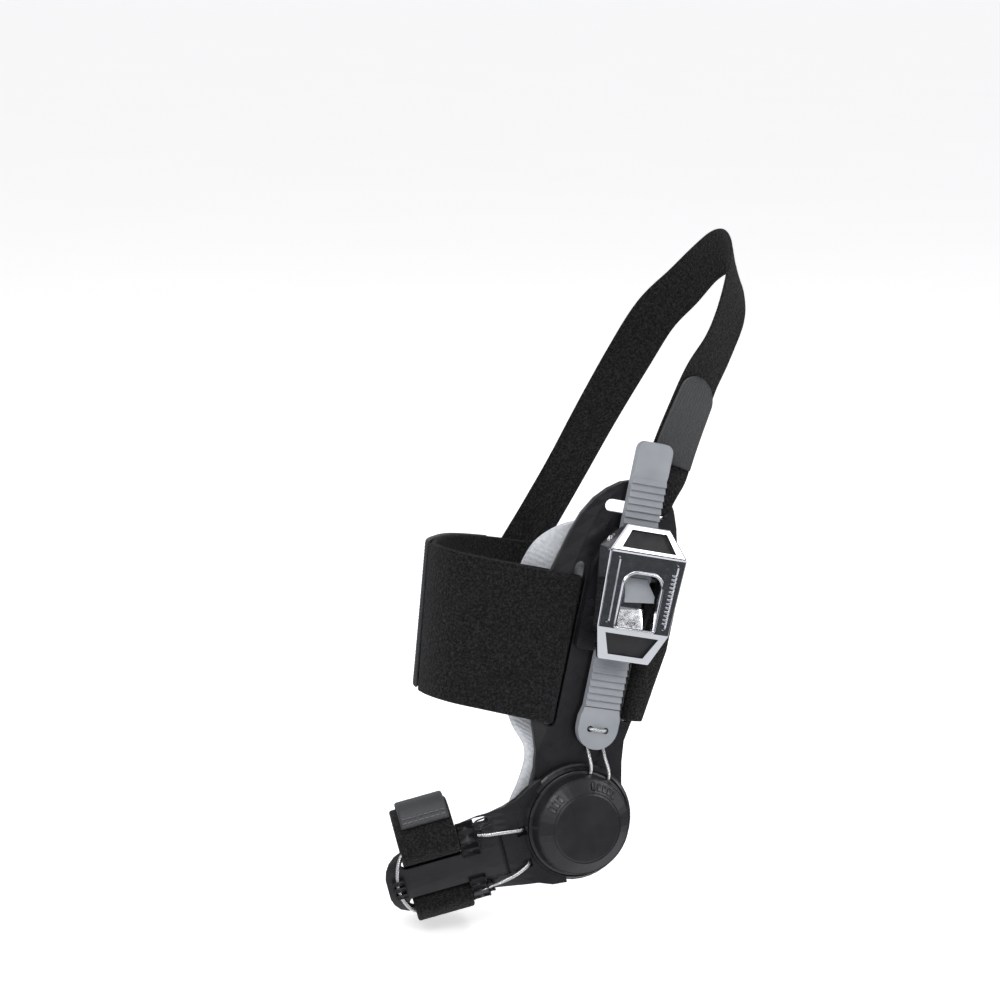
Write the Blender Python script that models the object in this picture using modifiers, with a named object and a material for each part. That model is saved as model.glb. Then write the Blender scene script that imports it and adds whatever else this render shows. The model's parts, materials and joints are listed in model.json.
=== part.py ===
"""Hinged bunion splint for the inner side of one foot, in metres, +Z up.

The origin is on the toe hinge's axis, where the lining meets the skin. The hinge axis is Y and
the outer side faces -Y. The plate runs up the arch and the toe arm points to -X.
Local frames have x across, y along and z outward from the skin, called the lift.
"""
import math

import bmesh
import bpy
from mathutils import Matrix, Vector

# Clearances
GAP = 0.0003
SLIDE = 0.0005
PAD_CLEARANCE = 0.0012
FACET_ROOM = 0.0002

# Main plate, measured from the hinge axis
PLATE_LENGTH = 0.1158
PLATE_WIDTH = 0.0457
PLATE_THICK = 0.0026
PLATE_END_RADIUS = 0.0185
PLATE_LEAN = math.radians(12.5)
FLAT_HALF = 0.009
WING_RADIUS = 0.040
PAD_THICK = 0.0021

# Straps
STRAP_THICK = 0.0016
MIDFOOT_WIDTH = 0.050
HEEL_WIDTH = 0.016
HEEL_STRAP_THICK = 0.0011
TOE_STRAP_WIDTH = 0.0195
FRONT_SLOT_X = -0.0158
REAR_SLOT_X = 0.0109
MIDFOOT_BASE_Y = 0.0315
REAR_SLOT_SHIFT = 0.0045
TOP_SLOT_Y = 0.1065
TOP_SLOT_FRONT_X = -0.0122
TOP_SLOT_REAR_X = 0.0112

# Foot that the straps close round
INSTEP_RISE = 0.0535
FOOT_WIDTH = 0.0735
HEEL_BACK = 0.6304 * PLATE_LENGTH
HEEL_RISE = 1.6062 * PLATE_LENGTH

# Toe hinge
HUB_RADIUS = 0.0199
HUB_THICK = 0.0026
HUB_RISE = 0.0014
CAP_RADIUS = 0.0180
CAP_HEIGHT = 0.0072
CAP_FACE_RADIUS = 0.0118
SHAFT_RADIUS = 0.0050

# Toe arm
ARM_DIP = math.radians(15.0)
NECK_LENGTH = 0.0285
TOE_PLATE_LENGTH = 0.0392
TOE_PLATE_WIDTH = 0.0274
TOE_PLATE_TURN = math.radians(15.0)
ARM_THICK = 0.0024
TOE_RADIUS = 0.0150
TOE_STRAP_INSET = 0.0125
UPPER_SLOT = 0.165
LOWER_SLOT = -0.345
UPPER_SLOT_HALF = 0.0016
LOWER_SLOT_HALF = 0.0020
EYELET_FRONT_X = -0.0335
EYELET_REAR_X = -0.0303
EYELET_Y = 0.0118
EYELET_RADIUS = 0.0010

# Steel cable
CABLE_RADIUS = 0.0006

# Ladder
LADDER_WIDTH = 0.0127
LADDER_TAB_WIDTH = 0.0146
LADDER_START_Y = 0.0252
LADDER_LENGTH = 0.1044
LADDER_THICK = 0.0020
TOOTH_PITCH = 0.0023
TOOTH_HEIGHT = 0.0010
LOWER_TAB_LENGTH = 0.0142
UPPER_TAB_LENGTH = 0.0106
CABLE_HOLE_RADIUS = 0.0011
CABLE_HOLE_SPACING = 0.0058
CABLE_HOLE_INSET = 0.0068

# Buckle
BASE_START_Y = 0.0580
BASE_LENGTH = 0.0410
BASE_FLOOR = 0.0012
BASE_SHOULDER = 0.0028
BASE_FRONT_X = -0.0136
BASE_REAR_X = 0.0088
CHEEK_THICK = 0.0016
PIN_RADIUS = 0.0012
PIN_Y = 0.0970
PIN_LIFT = 0.0143
LEVER_LENGTH = 0.0455
LEVER_START_Y = 0.0570
LEVER_WIDTH = 0.0280
LEVER_LIFT = 0.0212
LEVER_SHEET = 0.0012
TAB_PIN_Y = 0.0850
TAB_PIN_LIFT = 0.0140
BUCKLE_PIN_LENGTH = 0.0226
TAB_PIN_LENGTH = 0.0190
SCREW_HEIGHT = 0.0012
SCREW_HEADS = [
    # height along the plate, radius
    (0.0670, 0.0026),
    (0.0737, 0.0013),
]

# Openings in the lever's sloped ends: low and high edge as shares of the lever's length, then
# their half widths as shares of its half width
TOP_OPENING = (0.835, 0.965, 0.72, 0.46)
BOTTOM_OPENING = (0.045, 0.205, 0.46, 0.70)

# Lifts that follow from the stack
PLATE_BOTTOM = PAD_THICK + PAD_CLEARANCE
PLATE_TOP = PLATE_BOTTOM + PLATE_THICK
HUB_BOTTOM = PLATE_TOP + GAP
HUB_TOP = HUB_BOTTOM + HUB_THICK
COLLAR_TOP = HUB_TOP + HUB_RISE
HUB_FLOOR = HUB_BOTTOM + 0.45 * (HUB_THICK + HUB_RISE)
CAP_BOTTOM = HUB_FLOOR + GAP
BASE_BOTTOM = PLATE_TOP + GAP
LADDER_BOTTOM = BASE_BOTTOM + BASE_FLOOR + GAP
LADDER_ROOT = LADDER_BOTTOM + LADDER_THICK
LADDER_CREST = LADDER_ROOT + TOOTH_HEIGHT
STRAP_LAYER = STRAP_THICK + GAP + FACET_ROOM
CHEEK_INNER = LADDER_WIDTH / 2 + SLIDE

# Outline of the main plate: height as a share of its length, edges as shares of its width
PLATE_ROWS = [
    # along, front, rear
    (0.069, -0.394, 0.368),
    (0.130, -0.387, 0.324),
    (0.186, -0.405, 0.293),
    (0.248, -0.455, 0.276),
    (0.302, -0.495, 0.302),
    (0.389, -0.538, 0.354),
    (0.475, -0.565, 0.400),
    (0.561, -0.575, 0.425),
    (0.685, -0.560, 0.425),
    (0.760, -0.516, 0.407),
    (0.827, -0.473, 0.385),
    (0.883, -0.425, 0.344),
    (0.931, -0.354, 0.293),
    (0.965, -0.269, 0.236),
    (0.989, -0.177, 0.164),
    (1.000, -0.083, 0.088),
]

# Outline of the lining pad, in the same shares
PAD_ROWS = [
    # along, front, rear
    (-0.164, -0.130, 0.130),
    (-0.130, -0.306, 0.284),
    (-0.069, -0.449, 0.383),
    (0.015, -0.492, 0.385),
    (0.075, -0.462, 0.339),
    (0.130, -0.444, 0.302),
    (0.168, -0.449, 0.280),
    (0.202, -0.486, 0.263),
    (0.250, -0.569, 0.258),
    (0.345, -0.652, 0.306),
    (0.475, -0.700, 0.345),
    (0.587, -0.718, 0.350),
    (0.687, -0.702, 0.352),
    (0.763, -0.650, 0.348),
    (0.813, -0.556, 0.335),
    (0.850, -0.416, 0.306),
    (0.868, -0.219, 0.175),
]

# Neck and toe plate: distance from the hinge in neck lengths, then from the groove in plate lengths
NECK_ROWS = [
    # along, middle, half width, both as shares of the toe plate's width
    (0.30, 0.000, 0.690),
    (0.48, -0.010, 0.640),
    (0.64, -0.004, 0.560),
    (0.82, 0.000, 0.520),
    (1.00, 0.010, 0.500),
]
TOE_ROWS = [
    # along, middle, half width, both as shares of the toe plate's width
    (0.12, 0.010, 0.500),
    (0.24, -0.010, 0.500),
    (0.38, -0.030, 0.490),
    (0.55, -0.055, 0.475),
    (0.70, -0.075, 0.455),
    (0.80, -0.085, 0.430),
    (0.88, -0.090, 0.385),
    (0.94, -0.095, 0.315),
    (0.98, -0.095, 0.220),
    (1.00, -0.095, 0.120),
]

# Round of the foot under the midfoot strap, from the plate's rear edge to its front edge
MIDFOOT_ROUND = [
    # across as a share of the instep's rise, depth as a share of the foot's width
    (0.377, -0.076),
    (0.390, -0.060),
    (0.393, -0.030),
    (0.392, 0.010),
    (0.388, 0.060),
    (0.381, 0.180),
    (0.352, 0.410),
    (0.315, 0.650),
    (0.226, 0.840),
    (0.070, 0.965),
    (-0.174, 1.000),
    (-0.452, 0.925),
    (-0.660, 0.800),
    (-0.820, 0.620),
    (-0.945, 0.450),
    (-1.000, 0.310),
    (-0.980, 0.200),
    (-0.900, 0.120),
    (-0.770, 0.072),
    (-0.630, 0.045),
]

# Round of the big toe under the toe strap, from the plate's upper edge to its lower one
TOE_ROUND = [
    # across and depth below the plate's outer face, as shares of the toe's radius
    (0.973, 0.167),
    (1.107, 0.400),
    (1.173, 0.733),
    (1.147, 1.133),
    (0.967, 1.600),
    (0.600, 1.967),
    (0.067, 2.133),
    (-0.533, 2.067),
    (-0.967, 1.767),
    (-1.173, 1.300),
    (-1.200, 0.800),
    (-1.140, 0.400),
    (-1.067, 0.200),
]

# Heel strap: middle line round the back of the heel, and the direction of its width
HEEL_ROUTE = [
    # x as a share of the heel's reach, y of the foot's width, z of its rise, then the direction
    (0.485, -0.042, 0.635, 0.94, 0.02, -0.34),
    (0.525, -0.030, 0.672, 0.93, 0.05, -0.36),
    (0.590, 0.000, 0.718, 0.92, 0.15, -0.36),
    (0.690, 0.060, 0.778, 0.88, 0.28, -0.38),
    (0.810, 0.130, 0.830, 0.80, 0.42, -0.42),
    (0.922, 0.213, 0.893, 0.80, 0.46, -0.36),
    (0.984, 0.305, 0.945, 0.64, 0.60, -0.46),
    (1.018, 0.410, 0.982, 0.35, 0.58, -0.72),
    (1.018, 0.515, 0.990, 0.12, 0.10, -0.98),
    (0.980, 0.615, 0.966, 0.10, -0.42, -0.90),
    (0.905, 0.710, 0.918, 0.30, -0.52, -0.80),
    (0.800, 0.800, 0.862, 0.54, -0.48, -0.68),
    (0.690, 0.880, 0.775, 0.75, -0.28, -0.60),
    (0.560, 0.950, 0.672, 0.86, -0.10, -0.50),
    (0.430, 1.000, 0.570, 0.88, 0.00, -0.47),
    (0.290, 1.026, 0.475, 0.87, 0.00, -0.50),
    (0.190, 1.030, 0.415, 0.87, 0.00, -0.50),
    (0.120, 1.029, 0.370, 0.87, 0.00, -0.50),
]

# Steel cable of the ladder: across, along and lift in millimetres in the plate's frame
LADDER_CABLE_ROUTE = [
    (0.1, 17.2, 11.1), (0.1, 18.6, 11.1), (0.0, 20.1, 10.6), (-0.2, 21.8, 9.3), (-0.4, 23.4, 7.9),
    (-0.8, 25.0, 6.95), (-1.2, 26.4, 6.85), (-2.0, 28.6, 6.80), (-2.8, 31.1, 6.8), (-2.9, 32.1, 7.9),
    (-2.8, 32.1, 9.8), (-2.0, 32.0, 10.95), (0.0, 32.0, 11.2), (2.0, 32.0, 10.95), (2.8, 32.1, 9.8),
    (2.9, 32.1, 7.9), (3.3, 31.1, 6.8), (3.9, 28.6, 6.80), (4.5, 26.4, 6.85), (5.0, 25.0, 6.95),
    (5.6, 23.0, 8.0), (6.1, 21.2, 9.4), (6.6, 19.4, 10.6), (6.9, 17.7, 11.1), (7.1, 16.2, 11.1),
]

# Steel cable of the toe: distance from the groove and across, in millimetres on the toe plate's
# outer face, then the lift over that face
TOE_CABLE_ROUTE = [
    (5.0, 7.6, 1.4), (8.0, 8.1, 1.25), (11.0, 8.9, 1.0), (15.0, 9.3, 0.95), (20.0, 9.2, 0.95),
    (25.0, 9.1, 0.95), (29.0, 8.9, 0.95), (31.9, 8.0, 0.95), (33.9, 5.4, 1.0), (35.2, 1.6, 1.1),
    (35.9, -2.2, 1.1), (35.6, -5.6, 1.1), (34.6, -8.8, 1.1), (33.4, -11.2, 1.0), (31.6, -13.0, 0.95),
    (28.0, -13.0, 0.95), (23.0, -13.2, 0.95), (17.0, -12.9, 0.95), (12.0, -12.2, 1.0), (8.0, -11.2, 1.25),
    (5.0, -10.4, 1.4),
]
TOE_CABLE_UPPER_END = [
    # across from the hinge, along and lift, in millimetres in the arm's frame
    (-19.0, 4.5, 8.7), (-20.0, 4.7, 9.6), (-23.0, 5.6, 10.15), (-27.0, 6.6, 10.1), (-31.0, 7.3, 9.4),
]
TOE_CABLE_LOWER_END = [
    (-31.0, -9.9, 9.4), (-27.0, -9.4, 10.1), (-23.5, -8.6, 10.15), (-20.6, -7.7, 9.7), (-19.7, -7.4, 8.7),
]
MILLIMETRE = 0.001

PARTS = "bunion_corrector"
CUTTERS = "cutters"
ACROSS_TO_FRAME = Matrix(((0, 0, 1, 0), (1, 0, 0, 0), (0, 1, 0, 0), (0, 0, 0, 1)))


# Scene and frames
def clear_scene():
    for obj in list(bpy.data.objects):
        bpy.data.objects.remove(obj)
    for name in (PARTS, CUTTERS):
        collection = bpy.data.collections.new(name)
        bpy.context.scene.collection.children.link(collection)


def link(obj, collection, parent):
    bpy.data.collections[collection].objects.link(obj)
    obj.parent = parent
    return obj


def add_frame(name, parent=None, location=(0, 0, 0), rotation=(0, 0, 0)):
    empty = bpy.data.objects.new(name, None)
    empty.location = location
    empty.rotation_euler = rotation
    return link(empty, PARTS, parent)


def material(name, colour, roughness, metallic=0.0):
    shader = bpy.data.materials.new(name)
    shader.use_nodes = True
    node = shader.node_tree.nodes["Principled BSDF"]
    node.inputs["Base Color"].default_value = (*colour, 1.0)
    node.inputs["Roughness"].default_value = roughness
    node.inputs["Metallic"].default_value = metallic
    return shader


def finish(obj, shader, smooth_angle=math.radians(35)):
    obj.data.materials.clear()
    obj.data.materials.append(shader)
    obj.data.shade_smooth()
    obj.data.set_sharp_from_angle(angle=smooth_angle)
    return obj


# Building blocks
def as_mesh(curve_object, name):
    """Turn a curve object into a welded mesh and remove the curve."""
    bpy.context.view_layer.update()
    depsgraph = bpy.context.evaluated_depsgraph_get()
    mesh = bpy.data.meshes.new_from_object(curve_object.evaluated_get(depsgraph))
    mesh.name = name
    weld = bmesh.new()
    weld.from_mesh(mesh)
    bmesh.ops.remove_doubles(weld, verts=weld.verts, dist=0.000005)
    weld.to_mesh(mesh)
    weld.free()
    bpy.data.objects.remove(curve_object)
    return mesh


def prism(name, loops, start, end, parent, collection=PARTS, along_x=False):
    """Extrude closed outlines: in the frame's x and y, or in y and lift when along_x is set."""
    curve = bpy.data.curves.new(name, "CURVE")
    curve.dimensions = "2D"
    curve.fill_mode = "BOTH"
    curve.extrude = (end - start) / 2
    for loop in loops:
        spline = curve.splines.new("POLY")
        spline.points.add(len(loop) - 1)
        for point, (across, along) in zip(spline.points, loop):
            point.co = (across, along, 0, 1)
        spline.use_cyclic_u = True
    flat = bpy.data.objects.new(name + "_outline", curve)
    bpy.data.collections[CUTTERS].objects.link(flat)
    mesh = as_mesh(flat, name)
    mesh.transform(Matrix.Translation((0, 0, (start + end) / 2)))
    if along_x:
        mesh.transform(ACROSS_TO_FRAME)
    return link(bpy.data.objects.new(name, mesh), collection, parent)


def shell(name, rows, columns, place, thickness, parent, collection=PARTS, offset=0.0, closed=False):
    """An open grid laid out by place(row, column share), thickened with Solidify."""
    grid = bmesh.new()
    bmesh.ops.create_grid(grid, x_segments=columns, y_segments=rows - 1, size=1)
    for vert in grid.verts:
        row = round((vert.co.y + 1) / 2 * (rows - 1))
        column = (vert.co.x + 1) / 2
        vert.co = place(row, column)
    if closed:
        bmesh.ops.remove_doubles(grid, verts=grid.verts, dist=0.00001)
    mesh = bpy.data.meshes.new(name)
    grid.to_mesh(mesh)
    grid.free()
    obj = link(bpy.data.objects.new(name, mesh), collection, parent)
    solid = obj.modifiers.new("thickness", "SOLIDIFY")
    solid.thickness = thickness
    solid.offset = offset
    solid.use_even_offset = True
    return obj


def turned(name, profile, steps, parent, collection=PARTS, closed=False):
    """Turn (radius, lift) points about the frame's z axis, running down the outer side."""
    mesh = bpy.data.meshes.new(name)
    edges = [(i, i + 1) for i in range(len(profile) - 1)]
    if closed:
        edges.append((len(profile) - 1, 0))
    mesh.from_pydata([(radius, 0, lift) for radius, lift in profile], edges, [])
    obj = link(bpy.data.objects.new(name, mesh), collection, parent)
    screw = obj.modifiers.new("turn", "SCREW")
    screw.steps = steps
    screw.render_steps = steps
    screw.use_merge_vertices = True
    screw.merge_threshold = 0.00001
    return obj


def cylinder(name, radius, length, sides, parent, location, direction="z", collection=PARTS):
    body = bmesh.new()
    bmesh.ops.create_cone(body, cap_ends=True, segments=sides, radius1=radius, radius2=radius, depth=length)
    mesh = bpy.data.meshes.new(name)
    body.to_mesh(mesh)
    body.free()
    if direction == "x":
        mesh.transform(ACROSS_TO_FRAME)
    obj = link(bpy.data.objects.new(name, mesh), collection, parent)
    obj.location = location
    return obj


def box(name, low, high, parent, collection=CUTTERS, turn=0.0):
    body = bmesh.new()
    bmesh.ops.create_cube(body, size=1)
    size = [b - a for a, b in zip(low, high)]
    bmesh.ops.scale(body, vec=size, verts=body.verts)
    mesh = bpy.data.meshes.new(name)
    body.to_mesh(mesh)
    body.free()
    obj = link(bpy.data.objects.new(name, mesh), collection, parent)
    obj.location = [(a + b) / 2 for a, b in zip(low, high)]
    obj.rotation_euler = (0, 0, turn)
    return obj


def combine(obj, tool, operation="DIFFERENCE"):
    tool.hide_render = True
    tool.display_type = "WIRE"
    boolean = obj.modifiers.new(operation.lower(), "BOOLEAN")
    boolean.operation = operation
    boolean.solver = "EXACT"
    boolean.object = tool


def bevel(obj, width, segments=2, angle=math.radians(40)):
    edge = obj.modifiers.new("rounded_edges", "BEVEL")
    edge.width = width
    edge.segments = segments
    edge.limit_method = "ANGLE"
    edge.angle_limit = angle
    edge.use_clamp_overlap = True


def arc(centre, radius, start, end, steps):
    """Points on an arc, angles in degrees."""
    points = []
    for step in range(steps + 1):
        angle = math.radians(start + (end - start) * step / steps)
        points.append((centre[0] + radius * math.cos(angle), centre[1] + radius * math.sin(angle)))
    return points


def stadium(low, high, half_height, steps=6):
    """A slot's outline, running from low to high with round ends."""
    tilt = math.degrees(math.atan2(high[1] - low[1], high[0] - low[0]))
    return (arc(high, half_height, tilt - 90, tilt + 90, steps)
            + arc(low, half_height, tilt + 90, tilt + 270, steps))


def smooth(points, steps):
    """Read a smooth curve through the points, a few steps for each span."""
    points = [Vector(point) for point in points]
    curve = []
    for i in range(len(points) - 1):
        before = points[max(i - 1, 0)]
        after = points[min(i + 2, len(points) - 1)]
        for step in range(steps):
            t = step / steps
            lean_in = (points[i + 1] - before) / 2
            lean_out = (after - points[i]) / 2
            curve.append(points[i] * (2 * t ** 3 - 3 * t ** 2 + 1) + lean_in * (t ** 3 - 2 * t ** 2 + t)
                         + points[i + 1] * (3 * t ** 2 - 2 * t ** 3) + lean_out * (t ** 3 - t ** 2))
    curve.append(points[-1])
    return curve


def ease(value, start, end):
    share = min(max((value - start) / (end - start), 0.0), 1.0)
    return share * share * (3 - 2 * share)


def tube(name, points, radius, parent, shader):
    curve = bpy.data.curves.new(name, "CURVE")
    curve.dimensions = "3D"
    curve.bevel_depth = radius
    curve.bevel_resolution = 2
    curve.use_fill_caps = True
    spline = curve.splines.new("POLY")
    spline.points.add(len(points) - 1)
    for point, place in zip(spline.points, points):
        point.co = (*place, 1)
    obj = link(bpy.data.objects.new(name, curve), PARTS, parent)
    curve.materials.append(shader)
    return obj


def offset_path(points, distance):
    """Shift a path of (x, lift) points to its left by a distance."""
    shifted = []
    last = len(points) - 1
    for i, point in enumerate(points):
        before = points[max(i - 1, 0)]
        after = points[min(i + 1, last)]
        along = (after - before).normalized()
        shifted.append(point + Vector((-along.y, along.x)) * distance)
    return shifted


# Main plate and its lining
def wing(x, y):
    """How far the plate curves toward the foot at its two long edges."""
    beyond = max(abs(x) - FLAT_HALF, 0.0)
    return -beyond ** 2 / (2 * WING_RADIUS) * ease(y, PLATE_END_RADIUS, 1.9 * PLATE_END_RADIUS)


def plate_rows():
    rows = []
    for angle in (10, 28, 46, 64, 80):
        half = PLATE_END_RADIUS * math.sin(math.radians(angle))
        rows.append((-PLATE_END_RADIUS * math.cos(math.radians(angle)), -half, half))
    for along, front, rear in PLATE_ROWS:
        rows.append((along * PLATE_LENGTH, front * PLATE_WIDTH, rear * PLATE_WIDTH))
    return rows


def main_plate(frame, shader):
    rows = plate_rows()
    middle = (PLATE_BOTTOM + PLATE_TOP) / 2

    def place(row, column):
        y, front, rear = rows[row]
        x = front + (rear - front) * column
        return (x, y, middle + wing(x, y))

    plate = shell("main_plate", len(rows), 7, place, PLATE_THICK, frame)
    bevel(plate, 0.0006, 2, math.radians(60))
    deep = 3 * PLATE_THICK
    half = 0.6 * PLATE_THICK + 0.25 * STRAP_LAYER
    front_slot = stadium((FRONT_SLOT_X, MIDFOOT_BASE_Y + 0.0006),
                         (FRONT_SLOT_X, MIDFOOT_BASE_Y + MIDFOOT_WIDTH + 0.0030), half)
    rear_start = MIDFOOT_BASE_Y + REAR_SLOT_SHIFT + 0.0006
    rear_slot = stadium((REAR_SLOT_X, rear_start), (REAR_SLOT_X, rear_start + MIDFOOT_WIDTH), 0.9 * half)
    top_slot = stadium((TOP_SLOT_FRONT_X + half, TOP_SLOT_Y), (TOP_SLOT_REAR_X - half, TOP_SLOT_Y), half)
    for name, outline in (("front_slot", front_slot), ("rear_slot", rear_slot), ("top_slot", top_slot)):
        cutter = prism(name + "_cut", [outline], middle - deep, middle + deep, frame, CUTTERS)
        combine(plate, cutter)
    bore = cylinder("plate_bore_cut", SHAFT_RADIUS + GAP, 2 * deep, 24, frame, (0, 0, middle),
                    collection=CUTTERS)
    combine(plate, bore)
    return finish(plate, shader)


def lining_pad(frame, shader):
    rows = [(along * PLATE_LENGTH, front * PLATE_WIDTH, rear * PLATE_WIDTH) for along, front, rear in PAD_ROWS]
    pocket_start = FRONT_SLOT_X / 2
    pocket_full = 0.7 * FRONT_SLOT_X

    def place(row, column):
        y, front, rear = rows[row]
        x = front + (rear - front) * column
        pocket = (STRAP_LAYER + 3 * FACET_ROOM) * ease(-x, -pocket_start, -pocket_full)
        pocket *= ease(y, 0.7 * MIDFOOT_BASE_Y, 0.93 * MIDFOOT_BASE_Y)
        return (x, y, PAD_THICK / 2 + wing(x, y) - pocket)

    pad = shell("lining_pad", len(rows), 9, place, PAD_THICK, frame)
    return finish(pad, shader)


# Toe hinge
def hinge_cap(frame, shader):
    flange_top = COLLAR_TOP + 0.0005
    top = flange_top + CAP_HEIGHT
    wall = 0.955 * CAP_RADIUS
    profile = [
        (0, top), (CAP_FACE_RADIUS - 0.0005, top), (CAP_FACE_RADIUS, top - 0.0003),
        (CAP_FACE_RADIUS + 0.0004, top - 0.0003), (0.90 * CAP_RADIUS, flange_top + 0.60 * CAP_HEIGHT),
        (0.915 * CAP_RADIUS, flange_top + 0.52 * CAP_HEIGHT), (wall, flange_top + 0.0002),
        (CAP_RADIUS - 0.0003, flange_top), (CAP_RADIUS, flange_top - 0.0004), (CAP_RADIUS, CAP_BOTTOM),
        (SHAFT_RADIUS, CAP_BOTTOM), (SHAFT_RADIUS, PLATE_BOTTOM), (0, PLATE_BOTTOM),
    ]
    cap = turned("hinge_cap", profile, 40, frame)
    notch = CABLE_RADIUS + GAP
    for name, route in (("front", LADDER_CABLE_ROUTE[0]), ("rear", LADDER_CABLE_ROUTE[-1])):
        x, y, lift = (value * MILLIMETRE for value in route)
        combine(cap, box(name + "_notch_cut", (x - notch, y - 0.0004, lift - notch),
                         (x + notch, y + 0.004, lift + notch), frame))
    return finish(cap, shader)


# Toe arm
def toe_section():
    """Stations of the arm: distance from the hinge, middle and half width."""
    stations = []
    for along, middle, half in NECK_ROWS:
        stations.append((along * NECK_LENGTH, middle * TOE_PLATE_WIDTH, half * TOE_PLATE_WIDTH))
    for along, middle, half in TOE_ROWS:
        stations.append((NECK_LENGTH + along * TOE_PLATE_LENGTH, middle * TOE_PLATE_WIDTH,
                         half * TOE_PLATE_WIDTH))
    return stations


def arm_point(distance, across, lift):
    """A point at a distance from the hinge along the arm, across it, and over its outer face."""
    curl = ease(distance, 0.72 * NECK_LENGTH, NECK_LENGTH + 0.30 * TOE_PLATE_LENGTH)
    radius = TOE_RADIUS + ARM_THICK
    flat = max(abs(across) - 0.10 * TOE_PLATE_WIDTH, 0.0)
    angle = min(flat / radius, 1.35) * curl
    side = math.copysign(1.0, across)
    bent = radius * math.sin(angle) + (flat - radius * angle) * math.cos(angle)
    y = side * (bent + min(abs(across), 0.10 * TOE_PLATE_WIDTH)) + lift * side * math.sin(angle)
    drop = radius * (1 - math.cos(angle)) + (flat - radius * angle) * math.sin(angle)
    face = HUB_TOP - drop + lift * math.cos(angle)
    beyond = max(distance - NECK_LENGTH, 0.0)
    x = -min(distance, NECK_LENGTH) - beyond * math.cos(TOE_PLATE_TURN)
    x -= (face - HUB_TOP) * math.sin(TOE_PLATE_TURN) * (1.0 if beyond else 0.0)
    face = HUB_TOP + (face - HUB_TOP) * (math.cos(TOE_PLATE_TURN) if beyond else 1.0)
    return Vector((x, y, face - beyond * math.sin(TOE_PLATE_TURN)))


def arm_shell(frame):
    stations = toe_section()

    def place(row, column):
        distance, middle, half = stations[row]
        return arm_point(distance, middle + (2 * column - 1) * half, 0.0)

    arm = shell("arm_shell", len(stations), 12, place, ARM_THICK, frame, CUTTERS, offset=-1.0)
    bevel(arm, 0.0005, 1, math.radians(60))
    combine(arm, cylinder("neck_trim_cut", (CAP_RADIUS + GAP + HUB_RADIUS) / 2, 0.04, 40, frame,
                          (0, 0, HUB_TOP), collection=CUTTERS))
    return arm


def toe_slots(frame):
    """Cutters for the two strap slots, set square to the toe plate at its middle."""
    turned_frame = add_frame("toe_plate_frame", frame, (-NECK_LENGTH, 0, HUB_TOP), (0, -TOE_PLATE_TURN, 0))
    start = -(TOE_STRAP_INSET - 0.0045)
    end = -(TOE_STRAP_INSET + TOE_STRAP_WIDTH - 0.0006)
    cutters = []
    for name, middle, half in (("upper", UPPER_SLOT, UPPER_SLOT_HALF), ("lower", LOWER_SLOT, LOWER_SLOT_HALF)):
        y = middle * TOE_PLATE_WIDTH
        outline = stadium((end, y), (start, y), half)
        cutters.append(prism(name + "_toe_slot_cut", [outline], -0.0090, 0.0030, turned_frame, CUTTERS))
    return cutters


def toe_arm(frame, shader):
    recess = CAP_RADIUS + GAP
    bore = SHAFT_RADIUS + GAP
    profile = [
        (recess, COLLAR_TOP), (recess + 0.0003, COLLAR_TOP), (HUB_RADIUS - 0.0006, HUB_TOP),
        (HUB_RADIUS, HUB_TOP - 0.0005), (HUB_RADIUS, HUB_BOTTOM), (bore, HUB_BOTTOM),
        (bore, HUB_FLOOR), (recess, HUB_FLOOR),
    ]
    arm = turned("toe_arm", profile, 40, frame, closed=True)
    combine(arm, arm_shell(frame), "UNION")
    for cutter in toe_slots(frame):
        combine(arm, cutter)
    groove_x = -NECK_LENGTH + 0.0011
    combine(arm, box("hinge_groove_cut", (groove_x - 0.0006, -0.0086, HUB_TOP - 0.0009),
                     (groove_x + 0.0006, 0.0062, HUB_TOP + 0.002), frame))
    for name, x, y in (("upper", -0.0198, 0.0038), ("lower", -0.0203, -0.0076)):
        combine(arm, box(name + "_cable_pocket_cut", (x - 0.0016, y - 0.0013, HUB_TOP - 0.0012),
                         (x + 0.0016, y + 0.0017, HUB_TOP + 0.003), frame))
    eyelet = stadium((EYELET_FRONT_X, EYELET_Y), (EYELET_REAR_X, EYELET_Y), EYELET_RADIUS)
    combine(arm, prism("eyelet_cut", [eyelet], HUB_BOTTOM - 0.006, HUB_TOP + 0.003, frame, CUTTERS))
    return finish(arm, shader)


# Cables
def cable_upper(frame, shader):
    points = [Vector(point) * MILLIMETRE for point in LADDER_CABLE_ROUTE]
    return tube("cable_upper", smooth(points, 2), CABLE_RADIUS, frame, shader)


def cable_toe(frame, shader):
    points = [Vector(point) * MILLIMETRE for point in TOE_CABLE_UPPER_END]
    for along, across, lift in TOE_CABLE_ROUTE:
        points.append(arm_point(NECK_LENGTH + along * MILLIMETRE, across * MILLIMETRE, lift * MILLIMETRE))
    points += [Vector(point) * MILLIMETRE for point in TOE_CABLE_LOWER_END]
    return tube("cable_toe", smooth(points, 2), CABLE_RADIUS, frame, shader)


# Ladder
def ladder_profile():
    """Side view of the ladder: teeth whose steep faces look down, between two plain tabs."""
    start = LADDER_START_Y
    end = start + LADDER_LENGTH
    tab_top = LADDER_ROOT + 0.5 * TOOTH_HEIGHT
    first = start + LOWER_TAB_LENGTH
    last = end - UPPER_TAB_LENGTH
    count = int((last - first) / TOOTH_PITCH)
    points = [(start, LADDER_BOTTOM), (end, LADDER_BOTTOM), (end, tab_top), (last, tab_top)]
    for tooth in reversed(range(count)):
        low = first + tooth * TOOTH_PITCH
        points.append((low + 0.96 * TOOTH_PITCH, LADDER_ROOT))
        points.append((low + 0.12 * TOOTH_PITCH, LADDER_CREST))
        points.append((low, LADDER_ROOT))
    points += [(first - 0.0002, tab_top), (start, tab_top)]
    return points


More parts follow.
